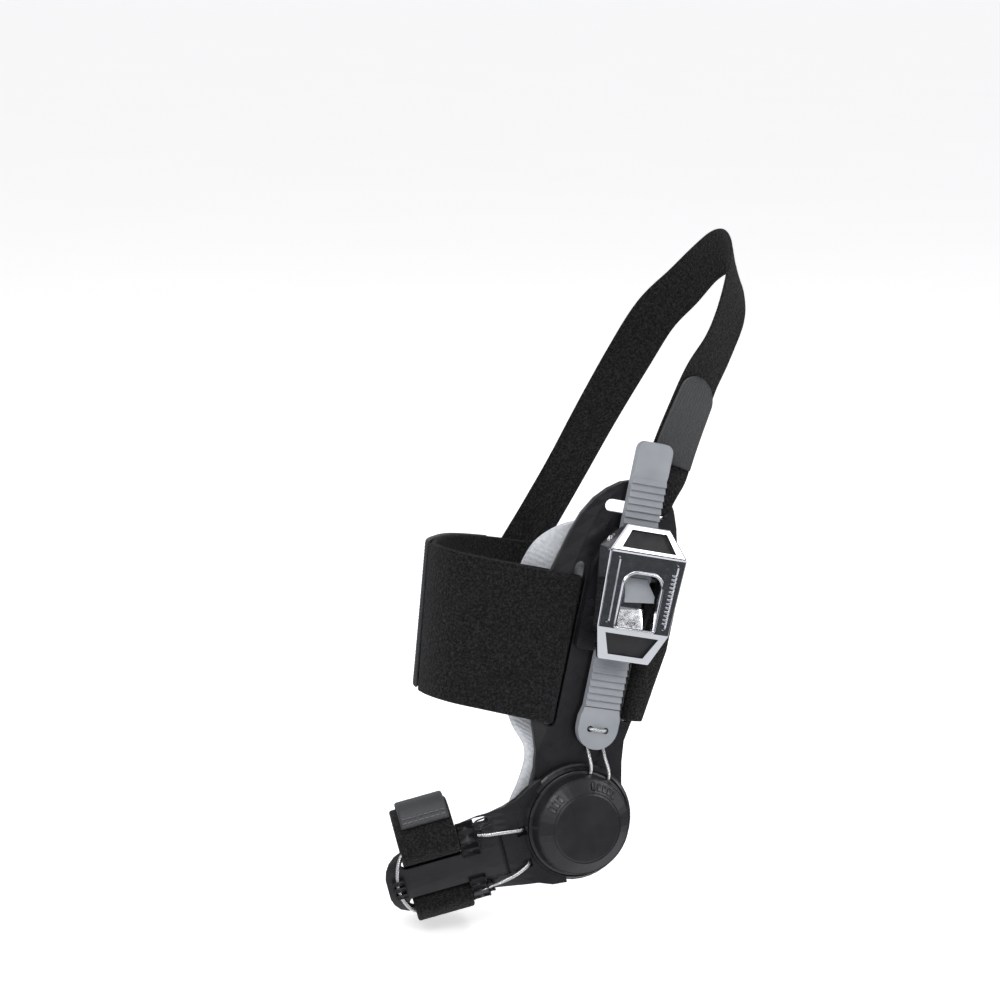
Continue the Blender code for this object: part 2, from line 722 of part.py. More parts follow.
def ladder_outline():
    start = LADDER_START_Y
    end = start + LADDER_LENGTH
    half = LADDER_WIDTH / 2
    tab = LADDER_TAB_WIDTH / 2
    corner = 0.45 * half
    outline = arc((0, start + tab), tab, 180, 360, 16)
    outline += [(tab, start + 0.75 * LOWER_TAB_LENGTH), (half, start + LOWER_TAB_LENGTH)]
    outline += arc((half - corner, end - corner), corner, 0, 90, 5)
    outline += arc((-half + corner, end - corner), corner, 90, 180, 5)
    outline += [(-half, start + LOWER_TAB_LENGTH), (-tab, start + 0.75 * LOWER_TAB_LENGTH)]
    return outline


def ratchet_ladder(frame, shader):
    half = LADDER_TAB_WIDTH
    ladder = prism("ratchet_ladder", [ladder_profile()], -half, half, frame, along_x=True)
    hole_y = LADDER_START_Y + CABLE_HOLE_INSET
    side = CABLE_HOLE_SPACING / 2
    holes = [arc((x, hole_y), CABLE_HOLE_RADIUS, 0, 337.5, 15) for x in (-side, side)]
    plan = prism("ladder_plan", [ladder_outline()] + holes, LADDER_BOTTOM - 0.002, LADDER_CREST + 0.002,
                 frame, CUTTERS)
    combine(ladder, plan, "INTERSECT")
    return finish(ladder, shader, math.radians(20))


# Buckle
def base_outline():
    front = BASE_FRONT_X
    rear = BASE_REAR_X
    start = BASE_START_Y
    end = start + BASE_LENGTH
    outline = [(rear, start), (rear, end - 0.0030), (rear - 0.0020, end)]
    outline += [(0.55 * front, end + 0.0005), (0.80 * front, end - 0.0060), (0.97 * front, end - 0.0130)]
    outline += [(front, start + 0.0010), (front + 0.0010, start)]
    return outline


def cheek_profile():
    """Side view of one cheek, which carries the lever's pin in its round ear."""
    bottom = BASE_BOTTOM + BASE_FLOOR / 2
    ear = 2.1 * PIN_RADIUS
    profile = [(BASE_START_Y + 0.0035, bottom), (PIN_Y + 0.5 * ear, bottom)]
    profile += arc((PIN_Y, PIN_LIFT), ear, -60, 150, 11)
    profile += [(TAB_PIN_Y + ear, TAB_PIN_LIFT + ear), (TAB_PIN_Y - ear, TAB_PIN_LIFT + ear)]
    profile += [(BASE_START_Y + 0.0100, LADDER_CREST + 0.0012), (BASE_START_Y + 0.0035, LADDER_CREST)]
    return profile


def buckle_base(frame, shader):
    floor_top = BASE_BOTTOM + BASE_FLOOR
    shoulder_top = BASE_BOTTOM + BASE_SHOULDER
    base = prism("buckle_base", [base_outline()], BASE_BOTTOM, shoulder_top, frame)
    channel = box("ladder_channel_cut", (-CHEEK_INNER, BASE_START_Y - 0.01, floor_top),
                  (CHEEK_INNER, BASE_START_Y + BASE_LENGTH + 0.01, shoulder_top + 0.01), frame)
    combine(base, channel)
    for name, start in (("front", -CHEEK_INNER - CHEEK_THICK), ("rear", CHEEK_INNER)):
        cheek = prism(name + "_cheek", [cheek_profile()], start, start + CHEEK_THICK, frame, CUTTERS, True)
        combine(base, cheek, "UNION")
    for y, radius in SCREW_HEADS:
        x = BASE_FRONT_X + radius + 0.0008
        head = cylinder("screw_head", radius, SCREW_HEIGHT, 20, frame, (x, y, shoulder_top + 0.0002),
                        collection=CUTTERS)
        combine(base, head, "UNION")
    for name, y, lift in (("lever", PIN_Y, PIN_LIFT), ("tab", TAB_PIN_Y, TAB_PIN_LIFT)):
        hole = cylinder(name + "_pin_cut", PIN_RADIUS + GAP, 0.05, 16, frame, (0, y, lift), "x", CUTTERS)
        combine(base, hole)
    return finish(base, shader)


def pin(name, length, y, lift, frame, shader):
    return finish(cylinder(name, PIN_RADIUS, length, 16, frame, (0, y, lift), "x"), shader)


def lever_corners():
    """The lever's outer face at five stations and the lift of the wall's rim below each."""
    half = LEVER_WIDTH / 2
    start = LEVER_START_Y
    rows = [
        # along, half width, drop of the face, depth of the wall below the face
        (1.000, 0.560, 0.0040, 0.0020),
        (0.879, 0.842, 0.0015, 0.0077),
        (0.807, 1.010, 0.0000, 0.0092),
        (0.242, 0.940, 0.0000, 0.0042),
        (0.000, 0.665, 0.0030, 0.0020),
    ]
    return [(along * LEVER_LENGTH + start, share * half, LEVER_LIFT - drop, LEVER_LIFT - drop - wall)
            for along, share, drop, wall in rows]


def lever_hood(frame):
    """A sheet hood: three faces on top and a wall round them, open below."""
    rows = lever_corners()
    body = bmesh.new()
    top = []
    rim = []
    for y, half, lift, bottom in rows:
        top.append([body.verts.new((side * half, y, lift)) for side in (-1, 1)])
        rim.append([body.verts.new((side * half, y, bottom)) for side in (-1, 1)])
    for i in range(len(rows) - 1):
        body.faces.new((top[i][0], top[i + 1][0], top[i + 1][1], top[i][1]))
        body.faces.new((rim[i][0], rim[i + 1][0], top[i + 1][0], top[i][0]))
        body.faces.new((top[i][1], top[i + 1][1], rim[i + 1][1], rim[i][1]))
    last = len(rows) - 1
    body.faces.new((rim[0][1], rim[0][0], top[0][0], top[0][1]))
    body.faces.new((rim[last][0], rim[last][1], top[last][1], top[last][0]))
    bmesh.ops.recalc_face_normals(body, faces=body.faces)
    mesh = bpy.data.meshes.new("buckle_lever")
    body.to_mesh(mesh)
    body.free()
    return link(bpy.data.objects.new("buckle_lever", mesh), PARTS, frame)


def window_outline():
    half = 0.24 * LEVER_WIDTH
    low = 0.262 * LEVER_LENGTH + LEVER_START_Y
    high = 0.655 * LEVER_LENGTH + LEVER_START_Y
    corner = 0.62 * half
    outline = arc((half - corner, high - corner), corner, 0, 90, 6)
    outline += arc((-half + corner, high - corner), corner, 90, 180, 6)
    outline += arc((-half + 0.25 * corner, low + 0.25 * corner), 0.25 * corner, 180, 270, 3)
    outline += arc((half - 0.25 * corner, low + 0.25 * corner), 0.25 * corner, 270, 360, 3)
    return outline


def slope_outline(low_share, high_share, low_half, high_half):
    """A four-sided opening in one of the lever's sloped ends."""
    half = LEVER_WIDTH / 2
    low = low_share * LEVER_LENGTH + LEVER_START_Y
    high = high_share * LEVER_LENGTH + LEVER_START_Y
    return [(-low_half * half, low), (low_half * half, low), (high_half * half, high), (-high_half * half, high)]


def buckle_lever(frame, shader):
    lever = lever_hood(frame)
    sheet = lever.modifiers.new("sheet", "SOLIDIFY")
    sheet.thickness = LEVER_SHEET
    sheet.offset = -1.0
    sheet.use_even_offset = True
    bevel(lever, 0.0005, 2, math.radians(20))
    low = LEVER_LIFT - 0.0100
    high = LEVER_LIFT + 0.0030
    combine(lever, prism("lever_window_cut", [window_outline()], low, high, frame, CUTTERS))
    combine(lever, prism("top_opening_cut", [slope_outline(*TOP_OPENING)], low + 0.002, high, frame, CUTTERS))
    combine(lever, prism("low_opening_cut", [slope_outline(*BOTTOM_OPENING)], low + 0.002, high, frame, CUTTERS))
    for side in (-1, 1):
        x = side * 0.385 * LEVER_WIDTH
        start = (x * 0.96, 0.30 * LEVER_LENGTH + LEVER_START_Y)
        end = (x, 0.745 * LEVER_LENGTH + LEVER_START_Y)
        outline = stadium(start, end, 0.0010)
        name = "slot_recess_cut_" + ("front" if side < 0 else "rear")
        combine(lever, prism(name, [outline], LEVER_LIFT - 0.0006, high, frame, CUTTERS))
    hole = cylinder("lever_pin_cut", PIN_RADIUS + GAP, 0.05, 16, frame, (0, PIN_Y, PIN_LIFT), "x", CUTTERS)
    combine(lever, hole)
    return finish(lever, shader, math.radians(20))


def slope_insert(name, opening, at_top, frame, shader):
    """A plate behind an opening in a sloped end, parallel to it and a gap below the sheet."""
    rows = lever_corners()
    inner, outer = (rows[2], rows[0]) if at_top else (rows[3], rows[4])
    low, high, low_half, high_half = opening
    half = LEVER_WIDTH / 2

    def face(y):
        share = (y - inner[0]) / (outer[0] - inner[0])
        return inner[2] + (outer[2] - inner[2]) * share

    corners = []
    for share, wide in ((low - 0.012, low_half), (high + (0.001 if at_top else 0.012), high_half)):
        y = share * LEVER_LENGTH + LEVER_START_Y
        for side in (-1, 1):
            corners.append((side * (wide + 0.02) * half, y, face(y) - LEVER_SHEET - GAP))

    def place(row, column):
        left = Vector(corners[2 * row])
        right = Vector(corners[2 * row + 1])
        return left.lerp(right, column)

    insert = shell(name, 2, 1, place, 0.0008, frame, offset=-1.0)
    return finish(insert, shader)


def lever_pawl(frame, shader):
    """The bright ramp that shows in the window below the release tab."""
    start = 0.255 * LEVER_LENGTH + LEVER_START_Y
    half = 0.165 * LEVER_WIDTH
    profile = [(start, LEVER_LIFT - LEVER_SHEET - 0.0022), (start + 0.0062, LEVER_LIFT - 0.0058),
               (start + 0.0062, LEVER_LIFT - 0.0068), (start, LEVER_LIFT - LEVER_SHEET - 0.0034)]
    return finish(prism("lever_pawl", [profile], -half, half, frame, along_x=True), shader)


def release_tab(frame, shader):
    """A wedge in the lever's window, hinged on its own pin, with a tooth over the ladder."""
    bottom = LADDER_CREST + 0.0010
    outline = [(-0.0052, 0.0770), (0.0056, 0.0780), (0.0059, 0.0800), (0.0030, 0.0850), (-0.0050, 0.0850)]
    tab = prism("release_tab", [outline], bottom, LEVER_LIFT + 0.0008, frame)
    knuckle = cylinder("tab_knuckle", TAB_PIN_LIFT - bottom, 0.0098, 24, frame,
                       (0, TAB_PIN_Y, TAB_PIN_LIFT), "x", CUTTERS)
    combine(tab, knuckle, "UNION")
    slope = box("tab_slope_cut", (-0.02, -0.010, 0.0), (0.02, 0.014, 0.012), frame)
    slope.location = (0, 0.0825, LEVER_LIFT + 0.0036)
    slope.rotation_euler = (math.radians(-24), 0, 0)
    combine(tab, slope)
    combine(tab, cylinder("tab_hole_cut", PIN_RADIUS + GAP, 0.03, 16, frame,
                          (0, TAB_PIN_Y, TAB_PIN_LIFT), "x", CUTTERS))
    return finish(tab, shader)


# Midfoot strap
def midfoot_round():
    return [Vector((across * INSTEP_RISE, -depth * FOOT_WIDTH)) for across, depth in MIDFOOT_ROUND]


def plate_face(x, outside):
    """Lift of the strap's middle over the plate's outer face or under its inner one."""
    reach = GAP + FACET_ROOM + STRAP_THICK / 2
    y = MIDFOOT_BASE_Y + MIDFOOT_WIDTH / 2
    return (PLATE_TOP + reach if outside else PLATE_BOTTOM - reach) + wing(x, y)


def midfoot_path():
    """Across and lift, from the rear slot round the foot, through the front slot and back."""
    rear_edge = 0.41 * PLATE_WIDTH
    start = [(REAR_SLOT_X + 0.0001, PLATE_BOTTOM + 0.0003), (REAR_SLOT_X + 0.0001, PLATE_TOP - 0.0008),
             (REAR_SLOT_X + 0.0012, PLATE_TOP + 0.0006)]
    start.append((REAR_SLOT_X + 0.0032, plate_face(REAR_SLOT_X + 0.0032, True)))
    start.append((rear_edge, plate_face(rear_edge, True)))
    around = midfoot_round()
    front_edge = -0.575 * PLATE_WIDTH
    under = [(x, plate_face(x, False)) for x in (front_edge - 0.001, 0.75 * front_edge, FRONT_SLOT_X - 0.0018)]
    middle = (PLATE_TOP + PLATE_BOTTOM) / 2 + wing(FRONT_SLOT_X, PLATE_LENGTH / 2)
    turn = (plate_face(FRONT_SLOT_X, True) - plate_face(FRONT_SLOT_X, False)) / 2
    fold = arc((FRONT_SLOT_X - 0.0018, middle), turn, -60, 60, 4)
    over = [(x, plate_face(x, True)) for x in (FRONT_SLOT_X - 0.0018, 0.75 * front_edge, front_edge)]
    return start, around, under, fold, over


def midfoot_layers():
    start, around, under, fold, over = midfoot_path()
    first = smooth([Vector(p) for p in start] + around + [Vector(p) for p in under], 2)
    turn = [Vector(p) for p in fold]
    back = offset_path(smooth(list(reversed(around)), 2), -STRAP_LAYER)
    return first, turn, [Vector(p) for p in over], back


def midfoot_sheet(name, path, frame, shader, start_gap=0.0):
    """Widen a path of across and lift into a strap that fans toward the ankle."""
    path = [path[0].lerp(path[1], start_gap / (path[1] - path[0]).length)] + path[1:]
    middle = MIDFOOT_BASE_Y + MIDFOOT_WIDTH / 2
    edge = -0.575 * PLATE_WIDTH
    rear = 0.30 * PLATE_WIDTH

    def place(row, column):
        x, lift = path[row]
        share = 2 * column - 1
        y = middle + share * MIDFOOT_WIDTH / 2
        y += REAR_SLOT_SHIFT * ease(x, -0.1 * INSTEP_RISE, rear)
        if x < edge:
            x = edge + (x - edge) * (1 + 0.115 * share)
        if x > rear:
            x = rear + (x - rear) * (1 + 0.54 * min(share, 0.0))
        return (x, y, lift)

    return finish(shell(name, len(path), 2, place, STRAP_THICK, frame), shader)


def midfoot_strap(frame, fleece, hook):
    first, turn, over, back = midfoot_layers()
    fleece_end = 2 * 4 + 1
    over_points = smooth(over + [back[2]], 2)[:-1]
    path = first + turn + over_points + back[2:fleece_end]
    midfoot_sheet("midfoot_strap", path, frame, fleece)
    midfoot_sheet("midfoot_strap_hook", back[fleece_end:fleece_end + 9], frame, hook, GAP)


# Heel strap
def plate_point(x, y, lift):
    """World place of a point of the plate's frame."""
    across = Vector((math.cos(PLATE_LEAN), 0, -math.sin(PLATE_LEAN)))
    along = Vector((math.sin(PLATE_LEAN), 0, math.cos(PLATE_LEAN)))
    return across * x + along * y + Vector((0, -lift, 0))


def heel_stations():
    """Middle, width direction and width: out of the plate's top slot, then round the heel."""
    narrow = 0.58 * HEEL_WIDTH
    middle = TOP_SLOT_REAR_X - 0.0010 - narrow / 2
    face = PLATE_TOP + GAP + HEEL_STRAP_THICK / 2
    across = plate_point(1, 0, 0)
    stations = []
    for x, y, lift, width in ((0, TOP_SLOT_Y - 0.0006, PLATE_BOTTOM + 0.0004, narrow),
                              (0, TOP_SLOT_Y - 0.0004, PLATE_TOP - 0.0006, narrow),
                              (0.0002, TOP_SLOT_Y + 0.0008, face - 0.0001, narrow),
                              (0.0010, TOP_SLOT_Y + 0.0040, face, 1.1 * narrow),
                              (0.0018, PLATE_LENGTH + 0.0006, face - 0.0001, 1.35 * narrow)):
        stations.append((plate_point(middle + x, y, lift), across, width))
    for x, y, z, *side in HEEL_ROUTE:
        place = Vector((x * HEEL_BACK, y * FOOT_WIDTH, z * HEEL_RISE))
        stations.append((place, Vector(side), HEEL_WIDTH))
    return stations


def ribbon(name, stations, steps, frame, shader, lift=0.0, share=1.0):
    """A flat band along stations of a middle point, a width direction and a width."""
    middles = smooth([station[0] for station in stations], steps)
    sides = smooth([station[1] for station in stations], steps)
    widths = smooth([(station[2], 0, 0) for station in stations], steps)

    def place(row, column):
        along = (middles[min(row + 1, len(middles) - 1)] - middles[max(row - 1, 0)]).normalized()
        across = (sides[row] - sides[row].dot(along) * along).normalized()
        reach = (column - 0.5) * widths[row].x * share
        return middles[row] + across * reach + across.cross(along) * lift

    return finish(shell(name, len(middles), 2, place, HEEL_STRAP_THICK, frame), shader)


def heel_strap(world, fleece, hook):
    stations = heel_stations()
    ribbon("heel_strap", stations, 2, world, fleece)
    ribbon("heel_strap_hook", stations[5:9], 3, world, hook, HEEL_STRAP_THICK + GAP, 0.95)


# Toe strap
def toe_loop_rows():
    """Section of the closed loop: on the plate (across, lift), or free round the toe (y, lift)."""
    inside = -(ARM_THICK + GAP + STRAP_THICK / 2)
    outside = 2 * CABLE_RADIUS + 3 * GAP + STRAP_THICK / 2
    upper = UPPER_SLOT * TOE_PLATE_WIDTH
    lower = LOWER_SLOT * TOE_PLATE_WIDTH
    through = -0.5 * ARM_THICK
    behind = [(lower + 0.0022, 1.12 * inside), ((upper + lower) / 2, inside), (upper - 0.0028, 1.10 * inside),
              (upper - 0.0010, 1.12 * inside), (upper - 0.0001, 0.8 * inside), (upper + 0.0002, through),
              (upper + 0.0006, 0.4 * outside), (upper + 0.0024, outside),
              (0.33 * TOE_PLATE_WIDTH, outside), (0.42 * TOE_PLATE_WIDTH, outside)]
    back = [(-0.49 * TOE_PLATE_WIDTH, outside), (-0.40 * TOE_PLATE_WIDTH, outside),
            (lower - 0.0012, 0.4 * outside), (lower - 0.0006, through), (lower - 0.0004, 0.85 * inside),
            (lower + 0.0007, 1.18 * inside)]
    free = [Vector((across * TOE_RADIUS, -depth * TOE_RADIUS)) for across, depth in TOE_ROUND]
    return behind, free, back


def toe_free_point(across, lift, distance):
    """A point off the plate, in the section square to the toe plate at a distance from the hinge."""
    beyond = distance - NECK_LENGTH
    x = -NECK_LENGTH - beyond * math.cos(TOE_PLATE_TURN) - lift * math.sin(TOE_PLATE_TURN)
    return Vector((x, across, HUB_TOP + lift * math.cos(TOE_PLATE_TURN) - beyond * math.sin(TOE_PLATE_TURN)))


def toe_strap(frame, fleece, hook):
    behind, free, back = toe_loop_rows()
    start = NECK_LENGTH + TOE_STRAP_INSET
    tab = offset_path(smooth(free[:6], 2), STRAP_LAYER)

    def place(row, column):
        distance = start + column * TOE_STRAP_WIDTH
        if row < len(behind):
            return arm_point(distance, *behind[row])
        if row < len(behind) + len(free):
            return toe_free_point(*free[row - len(behind)], distance)
        return arm_point(distance, *(back + behind[:1])[row - len(behind) - len(free)])

    def place_tab(row, column):
        return toe_free_point(*tab[row], start + (0.04 + 0.84 * column) * TOE_STRAP_WIDTH)

    rows = len(behind) + len(free) + len(back) + 1
    finish(shell("toe_strap", rows, 2, place, STRAP_THICK, frame, closed=True), fleece)
    finish(shell("toe_strap_hook", len(tab), 2, place_tab, STRAP_THICK, frame), hook)


def hang_on(obj, axis):
    """Move a piece from the plate's frame to the frame on its own pin."""
    obj.parent = axis
    obj.location = obj.location - axis.location


def build():
    clear_scene()
    plastic = material("black_plastic", (0.020, 0.020, 0.022), 0.42)
    dial = material("dial_plastic", (0.024, 0.024, 0.026), 0.38)
    insert = material("insert_plastic", (0.012, 0.012, 0.013), 0.50)
    grey = material("grey_plastic", (0.32, 0.34, 0.37), 0.40)
    chrome = material("chrome", (0.78, 0.79, 0.82), 0.10, 1.0)
    steel = material("steel", (0.70, 0.70, 0.70), 0.30, 1.0)
    fleece = material("fleece", (0.012, 0.012, 0.013), 0.95)
    hook = material("hook_tape", (0.045, 0.047, 0.050), 0.60)
    lining = material("lining_fabric", (0.62, 0.64, 0.67), 0.90)

    quarter = math.radians(90)
    plate = add_frame("plate_frame", rotation=(quarter, PLATE_LEAN, 0))
    arm = add_frame("toe_hinge_axis", rotation=(quarter, -ARM_DIP, 0))
    world = add_frame("foot_frame")

    main_plate(plate, plastic)
    lining_pad(plate, lining)
    hinge_cap(plate, dial)
    toe_arm(arm, plastic)
    cable_upper(plate, steel)
    cable_toe(arm, steel)
    ratchet_ladder(plate, grey)
    buckle_base(plate, plastic)
    pin("buckle_pin", BUCKLE_PIN_LENGTH, PIN_Y, PIN_LIFT, plate, steel)
    pin("tab_pin", TAB_PIN_LENGTH, TAB_PIN_Y, TAB_PIN_LIFT, plate, steel)
    lever_axis = add_frame("lever_axis", plate, (0, PIN_Y, PIN_LIFT))
    tab_axis = add_frame("release_tab_axis", plate, (0, TAB_PIN_Y, TAB_PIN_LIFT))
    hang_on(buckle_lever(plate, chrome), lever_axis)
    hang_on(slope_insert("lever_insert_top", TOP_OPENING, True, plate, insert), lever_axis)
    hang_on(slope_insert("lever_insert_bottom", BOTTOM_OPENING, False, plate, insert), lever_axis)
    hang_on(lever_pawl(plate, chrome), lever_axis)
    hang_on(release_tab(plate, grey), tab_axis)
    midfoot_strap(plate, fleece, hook)
    heel_strap(world, fleece, hook)
    toe_strap(arm, fleece, hook)


build()
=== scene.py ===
"""Dressed scene of the hinged bunion splint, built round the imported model.

Lengths are in metres. Local frames have x across, y along and z outward from the skin, called the
lift, as in the solids. The plate's frame leans one way and the toe arm's frame dips the other way.
"""
import json
import math

import bmesh
import bpy
from mathutils import Euler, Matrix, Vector, noise

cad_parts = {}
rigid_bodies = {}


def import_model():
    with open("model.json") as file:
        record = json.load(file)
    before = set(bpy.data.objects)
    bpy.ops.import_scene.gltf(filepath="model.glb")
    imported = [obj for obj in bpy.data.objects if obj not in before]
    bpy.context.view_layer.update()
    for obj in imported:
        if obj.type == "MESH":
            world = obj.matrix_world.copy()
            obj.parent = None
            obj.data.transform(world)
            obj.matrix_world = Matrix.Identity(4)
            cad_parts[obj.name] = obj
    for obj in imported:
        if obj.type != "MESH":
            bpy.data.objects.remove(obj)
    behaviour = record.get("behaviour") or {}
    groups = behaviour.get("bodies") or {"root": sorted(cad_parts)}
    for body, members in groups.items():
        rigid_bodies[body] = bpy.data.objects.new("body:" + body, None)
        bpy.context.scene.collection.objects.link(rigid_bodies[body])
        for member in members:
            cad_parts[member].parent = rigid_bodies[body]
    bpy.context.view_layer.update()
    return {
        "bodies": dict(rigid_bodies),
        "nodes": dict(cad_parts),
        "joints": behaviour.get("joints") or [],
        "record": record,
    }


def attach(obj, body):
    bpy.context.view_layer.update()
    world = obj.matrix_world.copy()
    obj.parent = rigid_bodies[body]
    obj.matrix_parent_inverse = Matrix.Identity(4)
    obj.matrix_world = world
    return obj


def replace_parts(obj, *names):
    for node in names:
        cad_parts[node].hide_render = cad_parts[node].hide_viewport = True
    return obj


# The same named values as in the solids
GAP = 0.0003
FACET_ROOM = 0.0002
PLATE_LENGTH = 0.1158
PLATE_WIDTH = 0.0457
PLATE_THICK = 0.0026
PLATE_END_RADIUS = 0.0185
PLATE_LEAN = math.radians(12.5)
FLAT_HALF = 0.009
WING_RADIUS = 0.040
PLATE_BOTTOM = 0.0033
PLATE_TOP = PLATE_BOTTOM + PLATE_THICK
STRAP_THICK = 0.0016
STRAP_LAYER = STRAP_THICK + GAP + FACET_ROOM
MIDFOOT_WIDTH = 0.050
HEEL_WIDTH = 0.016
HEEL_STRAP_THICK = 0.0011
TOE_STRAP_WIDTH = 0.0195
FRONT_SLOT_X = -0.0158
REAR_SLOT_X = 0.0109
MIDFOOT_BASE_Y = 0.0315
REAR_SLOT_SHIFT = 0.0045
TOP_SLOT_Y = 0.1065
TOP_SLOT_REAR_X = 0.0112
INSTEP_RISE = 0.0535
FOOT_WIDTH = 0.0735
HEEL_BACK = 0.6304 * PLATE_LENGTH
HEEL_RISE = 1.6062 * PLATE_LENGTH
ARM_DIP = math.radians(15.0)
NECK_LENGTH = 0.0285
TOE_PLATE_LENGTH = 0.0392
TOE_PLATE_WIDTH = 0.0274
TOE_PLATE_TURN = math.radians(15.0)
ARM_THICK = 0.0024
TOE_RADIUS = 0.0150
TOE_STRAP_INSET = 0.0125
UPPER_SLOT = 0.165
LOWER_SLOT = -0.345
CABLE_RADIUS = 0.0006
HUB_TOP = 0.0088
LEVER_LENGTH = 0.0455
LEVER_START_Y = 0.0570
LEVER_WIDTH = 0.0280
LEVER_LIFT = 0.0212
CAP_RADIUS = 0.0180
CAP_FACE_RADIUS = 0.0118
CAP_TOP = 0.0179
MILLIMETRE = 0.001

# Camera of the photograph, with one point of the object held at its pixel
CAMERA_TURN = math.radians(22.1)
CAMERA_TILT = math.radians(9.9)
CAMERA_DISTANCE = 1.100
CAMERA_FOCAL_PIXELS = 3300.0
HALF_PICTURE = 500.0
ANCHOR = (0, -0.012, 0)
ANCHOR_PIXEL = (580.6, 824.3)
SENSOR_MM = 36.0

# Pile height, rib height and rib pitch of the soft pieces
FLEECE_PILE = 0.00014
HEEL_PILE = 0.00010
PAD_PILE = 0.00004
MIDFOOT_RIB = 0.00020
HEEL_RIB = 0.00018
TOE_RIB = 0.00022
RIB_PITCH = 0.0012
HEEL_TAB_ROUND = 0.007

# Thickness of the soft pad, which fills the room below the plate, and depth of the strap's pocket
PAD_VISIBLE_THICK = 0.0027
PAD_POCKET = STRAP_LAYER + 3 * FACET_ROOM

PAD_ROWS = [
    # along as a share of the plate's length, front and rear edge as shares of its width
    (-0.164, -0.130, 0.130),
    (-0.130, -0.306, 0.284),
    (-0.069, -0.449, 0.383),
    (0.015, -0.492, 0.385),
    (0.075, -0.462, 0.339),
    (0.130, -0.444, 0.302),
    (0.168, -0.449, 0.280),
    (0.202, -0.486, 0.263),
    (0.250, -0.569, 0.258),
    (0.345, -0.652, 0.306),
    (0.475, -0.700, 0.345),
    (0.587, -0.718, 0.350),
    (0.687, -0.702, 0.352),
    (0.763, -0.650, 0.348),
    (0.813, -0.556, 0.335),
    (0.850, -0.416, 0.306),
    (0.868, -0.219, 0.175),
]
MIDFOOT_ROUND = [
    # across as a share of the instep's rise, depth as a share of the foot's width
    (0.377, -0.076),
    (0.390, -0.060),
    (0.393, -0.030),
    (0.392, 0.010),
    (0.388, 0.060),
    (0.381, 0.180),
    (0.352, 0.410),
    (0.315, 0.650),
    (0.226, 0.840),
    (0.070, 0.965),
    (-0.174, 1.000),
    (-0.452, 0.925),
    (-0.660, 0.800),
    (-0.820, 0.620),
    (-0.945, 0.450),
    (-1.000, 0.310),
    (-0.980, 0.200),
    (-0.900, 0.120),
    (-0.770, 0.072),
    (-0.630, 0.045),
]
TOE_ROUND = [
    # across and depth below the plate's outer face, as shares of the toe's radius
    (0.973, 0.167),
    (1.107, 0.400),
    (1.173, 0.733),
    (1.147, 1.133),
    (0.967, 1.600),
    (0.600, 1.967),
    (0.067, 2.133),
    (-0.533, 2.067),
    (-0.967, 1.767),
    (-1.173, 1.300),
    (-1.200, 0.800),
    (-1.140, 0.400),
    (-1.067, 0.200),
]
HEEL_ROUTE = [
    # x as a share of the heel's reach, y of the foot's width, z of its rise, then the direction
    (0.485, -0.042, 0.635, 0.94, 0.02, -0.34),
    (0.525, -0.030, 0.672, 0.93, 0.05, -0.36),
    (0.590, 0.000, 0.718, 0.92, 0.15, -0.36),
    (0.690, 0.060, 0.778, 0.88, 0.28, -0.38),
    (0.810, 0.130, 0.830, 0.80, 0.42, -0.42),
    (0.922, 0.213, 0.893, 0.80, 0.46, -0.36),
    (0.984, 0.305, 0.945, 0.64, 0.60, -0.46),
    (1.018, 0.410, 0.982, 0.35, 0.58, -0.72),
    (1.018, 0.515, 0.990, 0.12, 0.10, -0.98),
    (0.980, 0.615, 0.966, 0.10, -0.42, -0.90),
    (0.905, 0.710, 0.918, 0.30, -0.52, -0.80),
    (0.800, 0.800, 0.862, 0.54, -0.48, -0.68),
    (0.690, 0.880, 0.775, 0.75, -0.28, -0.60),
    (0.560, 0.950, 0.672, 0.86, -0.10, -0.50),
    (0.430, 1.000, 0.570, 0.88, 0.00, -0.47),
    (0.290, 1.026, 0.475, 0.87, 0.00, -0.50),
    (0.190, 1.030, 0.415, 0.87, 0.00, -0.50),
    (0.120, 1.029, 0.370, 0.87, 0.00, -0.50),
]
LADDER_CABLE_ROUTE = [
    # across, along and lift in millimetres in the plate's frame
    (0.1, 17.2, 11.1), (0.1, 18.6, 11.1), (0.0, 20.1, 10.6), (-0.2, 21.8, 9.3), (-0.4, 23.4, 7.9),
    (-0.8, 25.0, 6.95), (-1.2, 26.4, 6.85), (-2.0, 28.6, 6.80), (-2.8, 31.1, 6.8), (-2.9, 32.1, 7.9),
    (-2.8, 32.1, 9.8), (-2.0, 32.0, 10.95), (0.0, 32.0, 11.2), (2.0, 32.0, 10.95), (2.8, 32.1, 9.8),
    (2.9, 32.1, 7.9), (3.3, 31.1, 6.8), (3.9, 28.6, 6.80), (4.5, 26.4, 6.85), (5.0, 25.0, 6.95),
    (5.6, 23.0, 8.0), (6.1, 21.2, 9.4), (6.6, 19.4, 10.6), (6.9, 17.7, 11.1), (7.1, 16.2, 11.1),
]
TOE_CABLE_ROUTE = [
    # distance from the groove, across and lift over the toe plate's face, in millimetres
    (5.0, 7.6, 1.4), (8.0, 8.1, 1.25), (11.0, 8.9, 1.0), (15.0, 9.3, 0.95), (20.0, 9.2, 0.95),
    (25.0, 9.1, 0.95), (29.0, 8.9, 0.95), (31.9, 8.0, 0.95), (33.9, 5.4, 1.0), (35.2, 1.6, 1.1),
    (35.9, -2.2, 1.1), (35.6, -5.6, 1.1), (34.6, -8.8, 1.1), (33.4, -11.2, 1.0), (31.6, -13.0, 0.95),
    (28.0, -13.0, 0.95), (23.0, -13.2, 0.95), (17.0, -12.9, 0.95), (12.0, -12.2, 1.0), (8.0, -11.2, 1.25),
    (5.0, -10.4, 1.4),
]
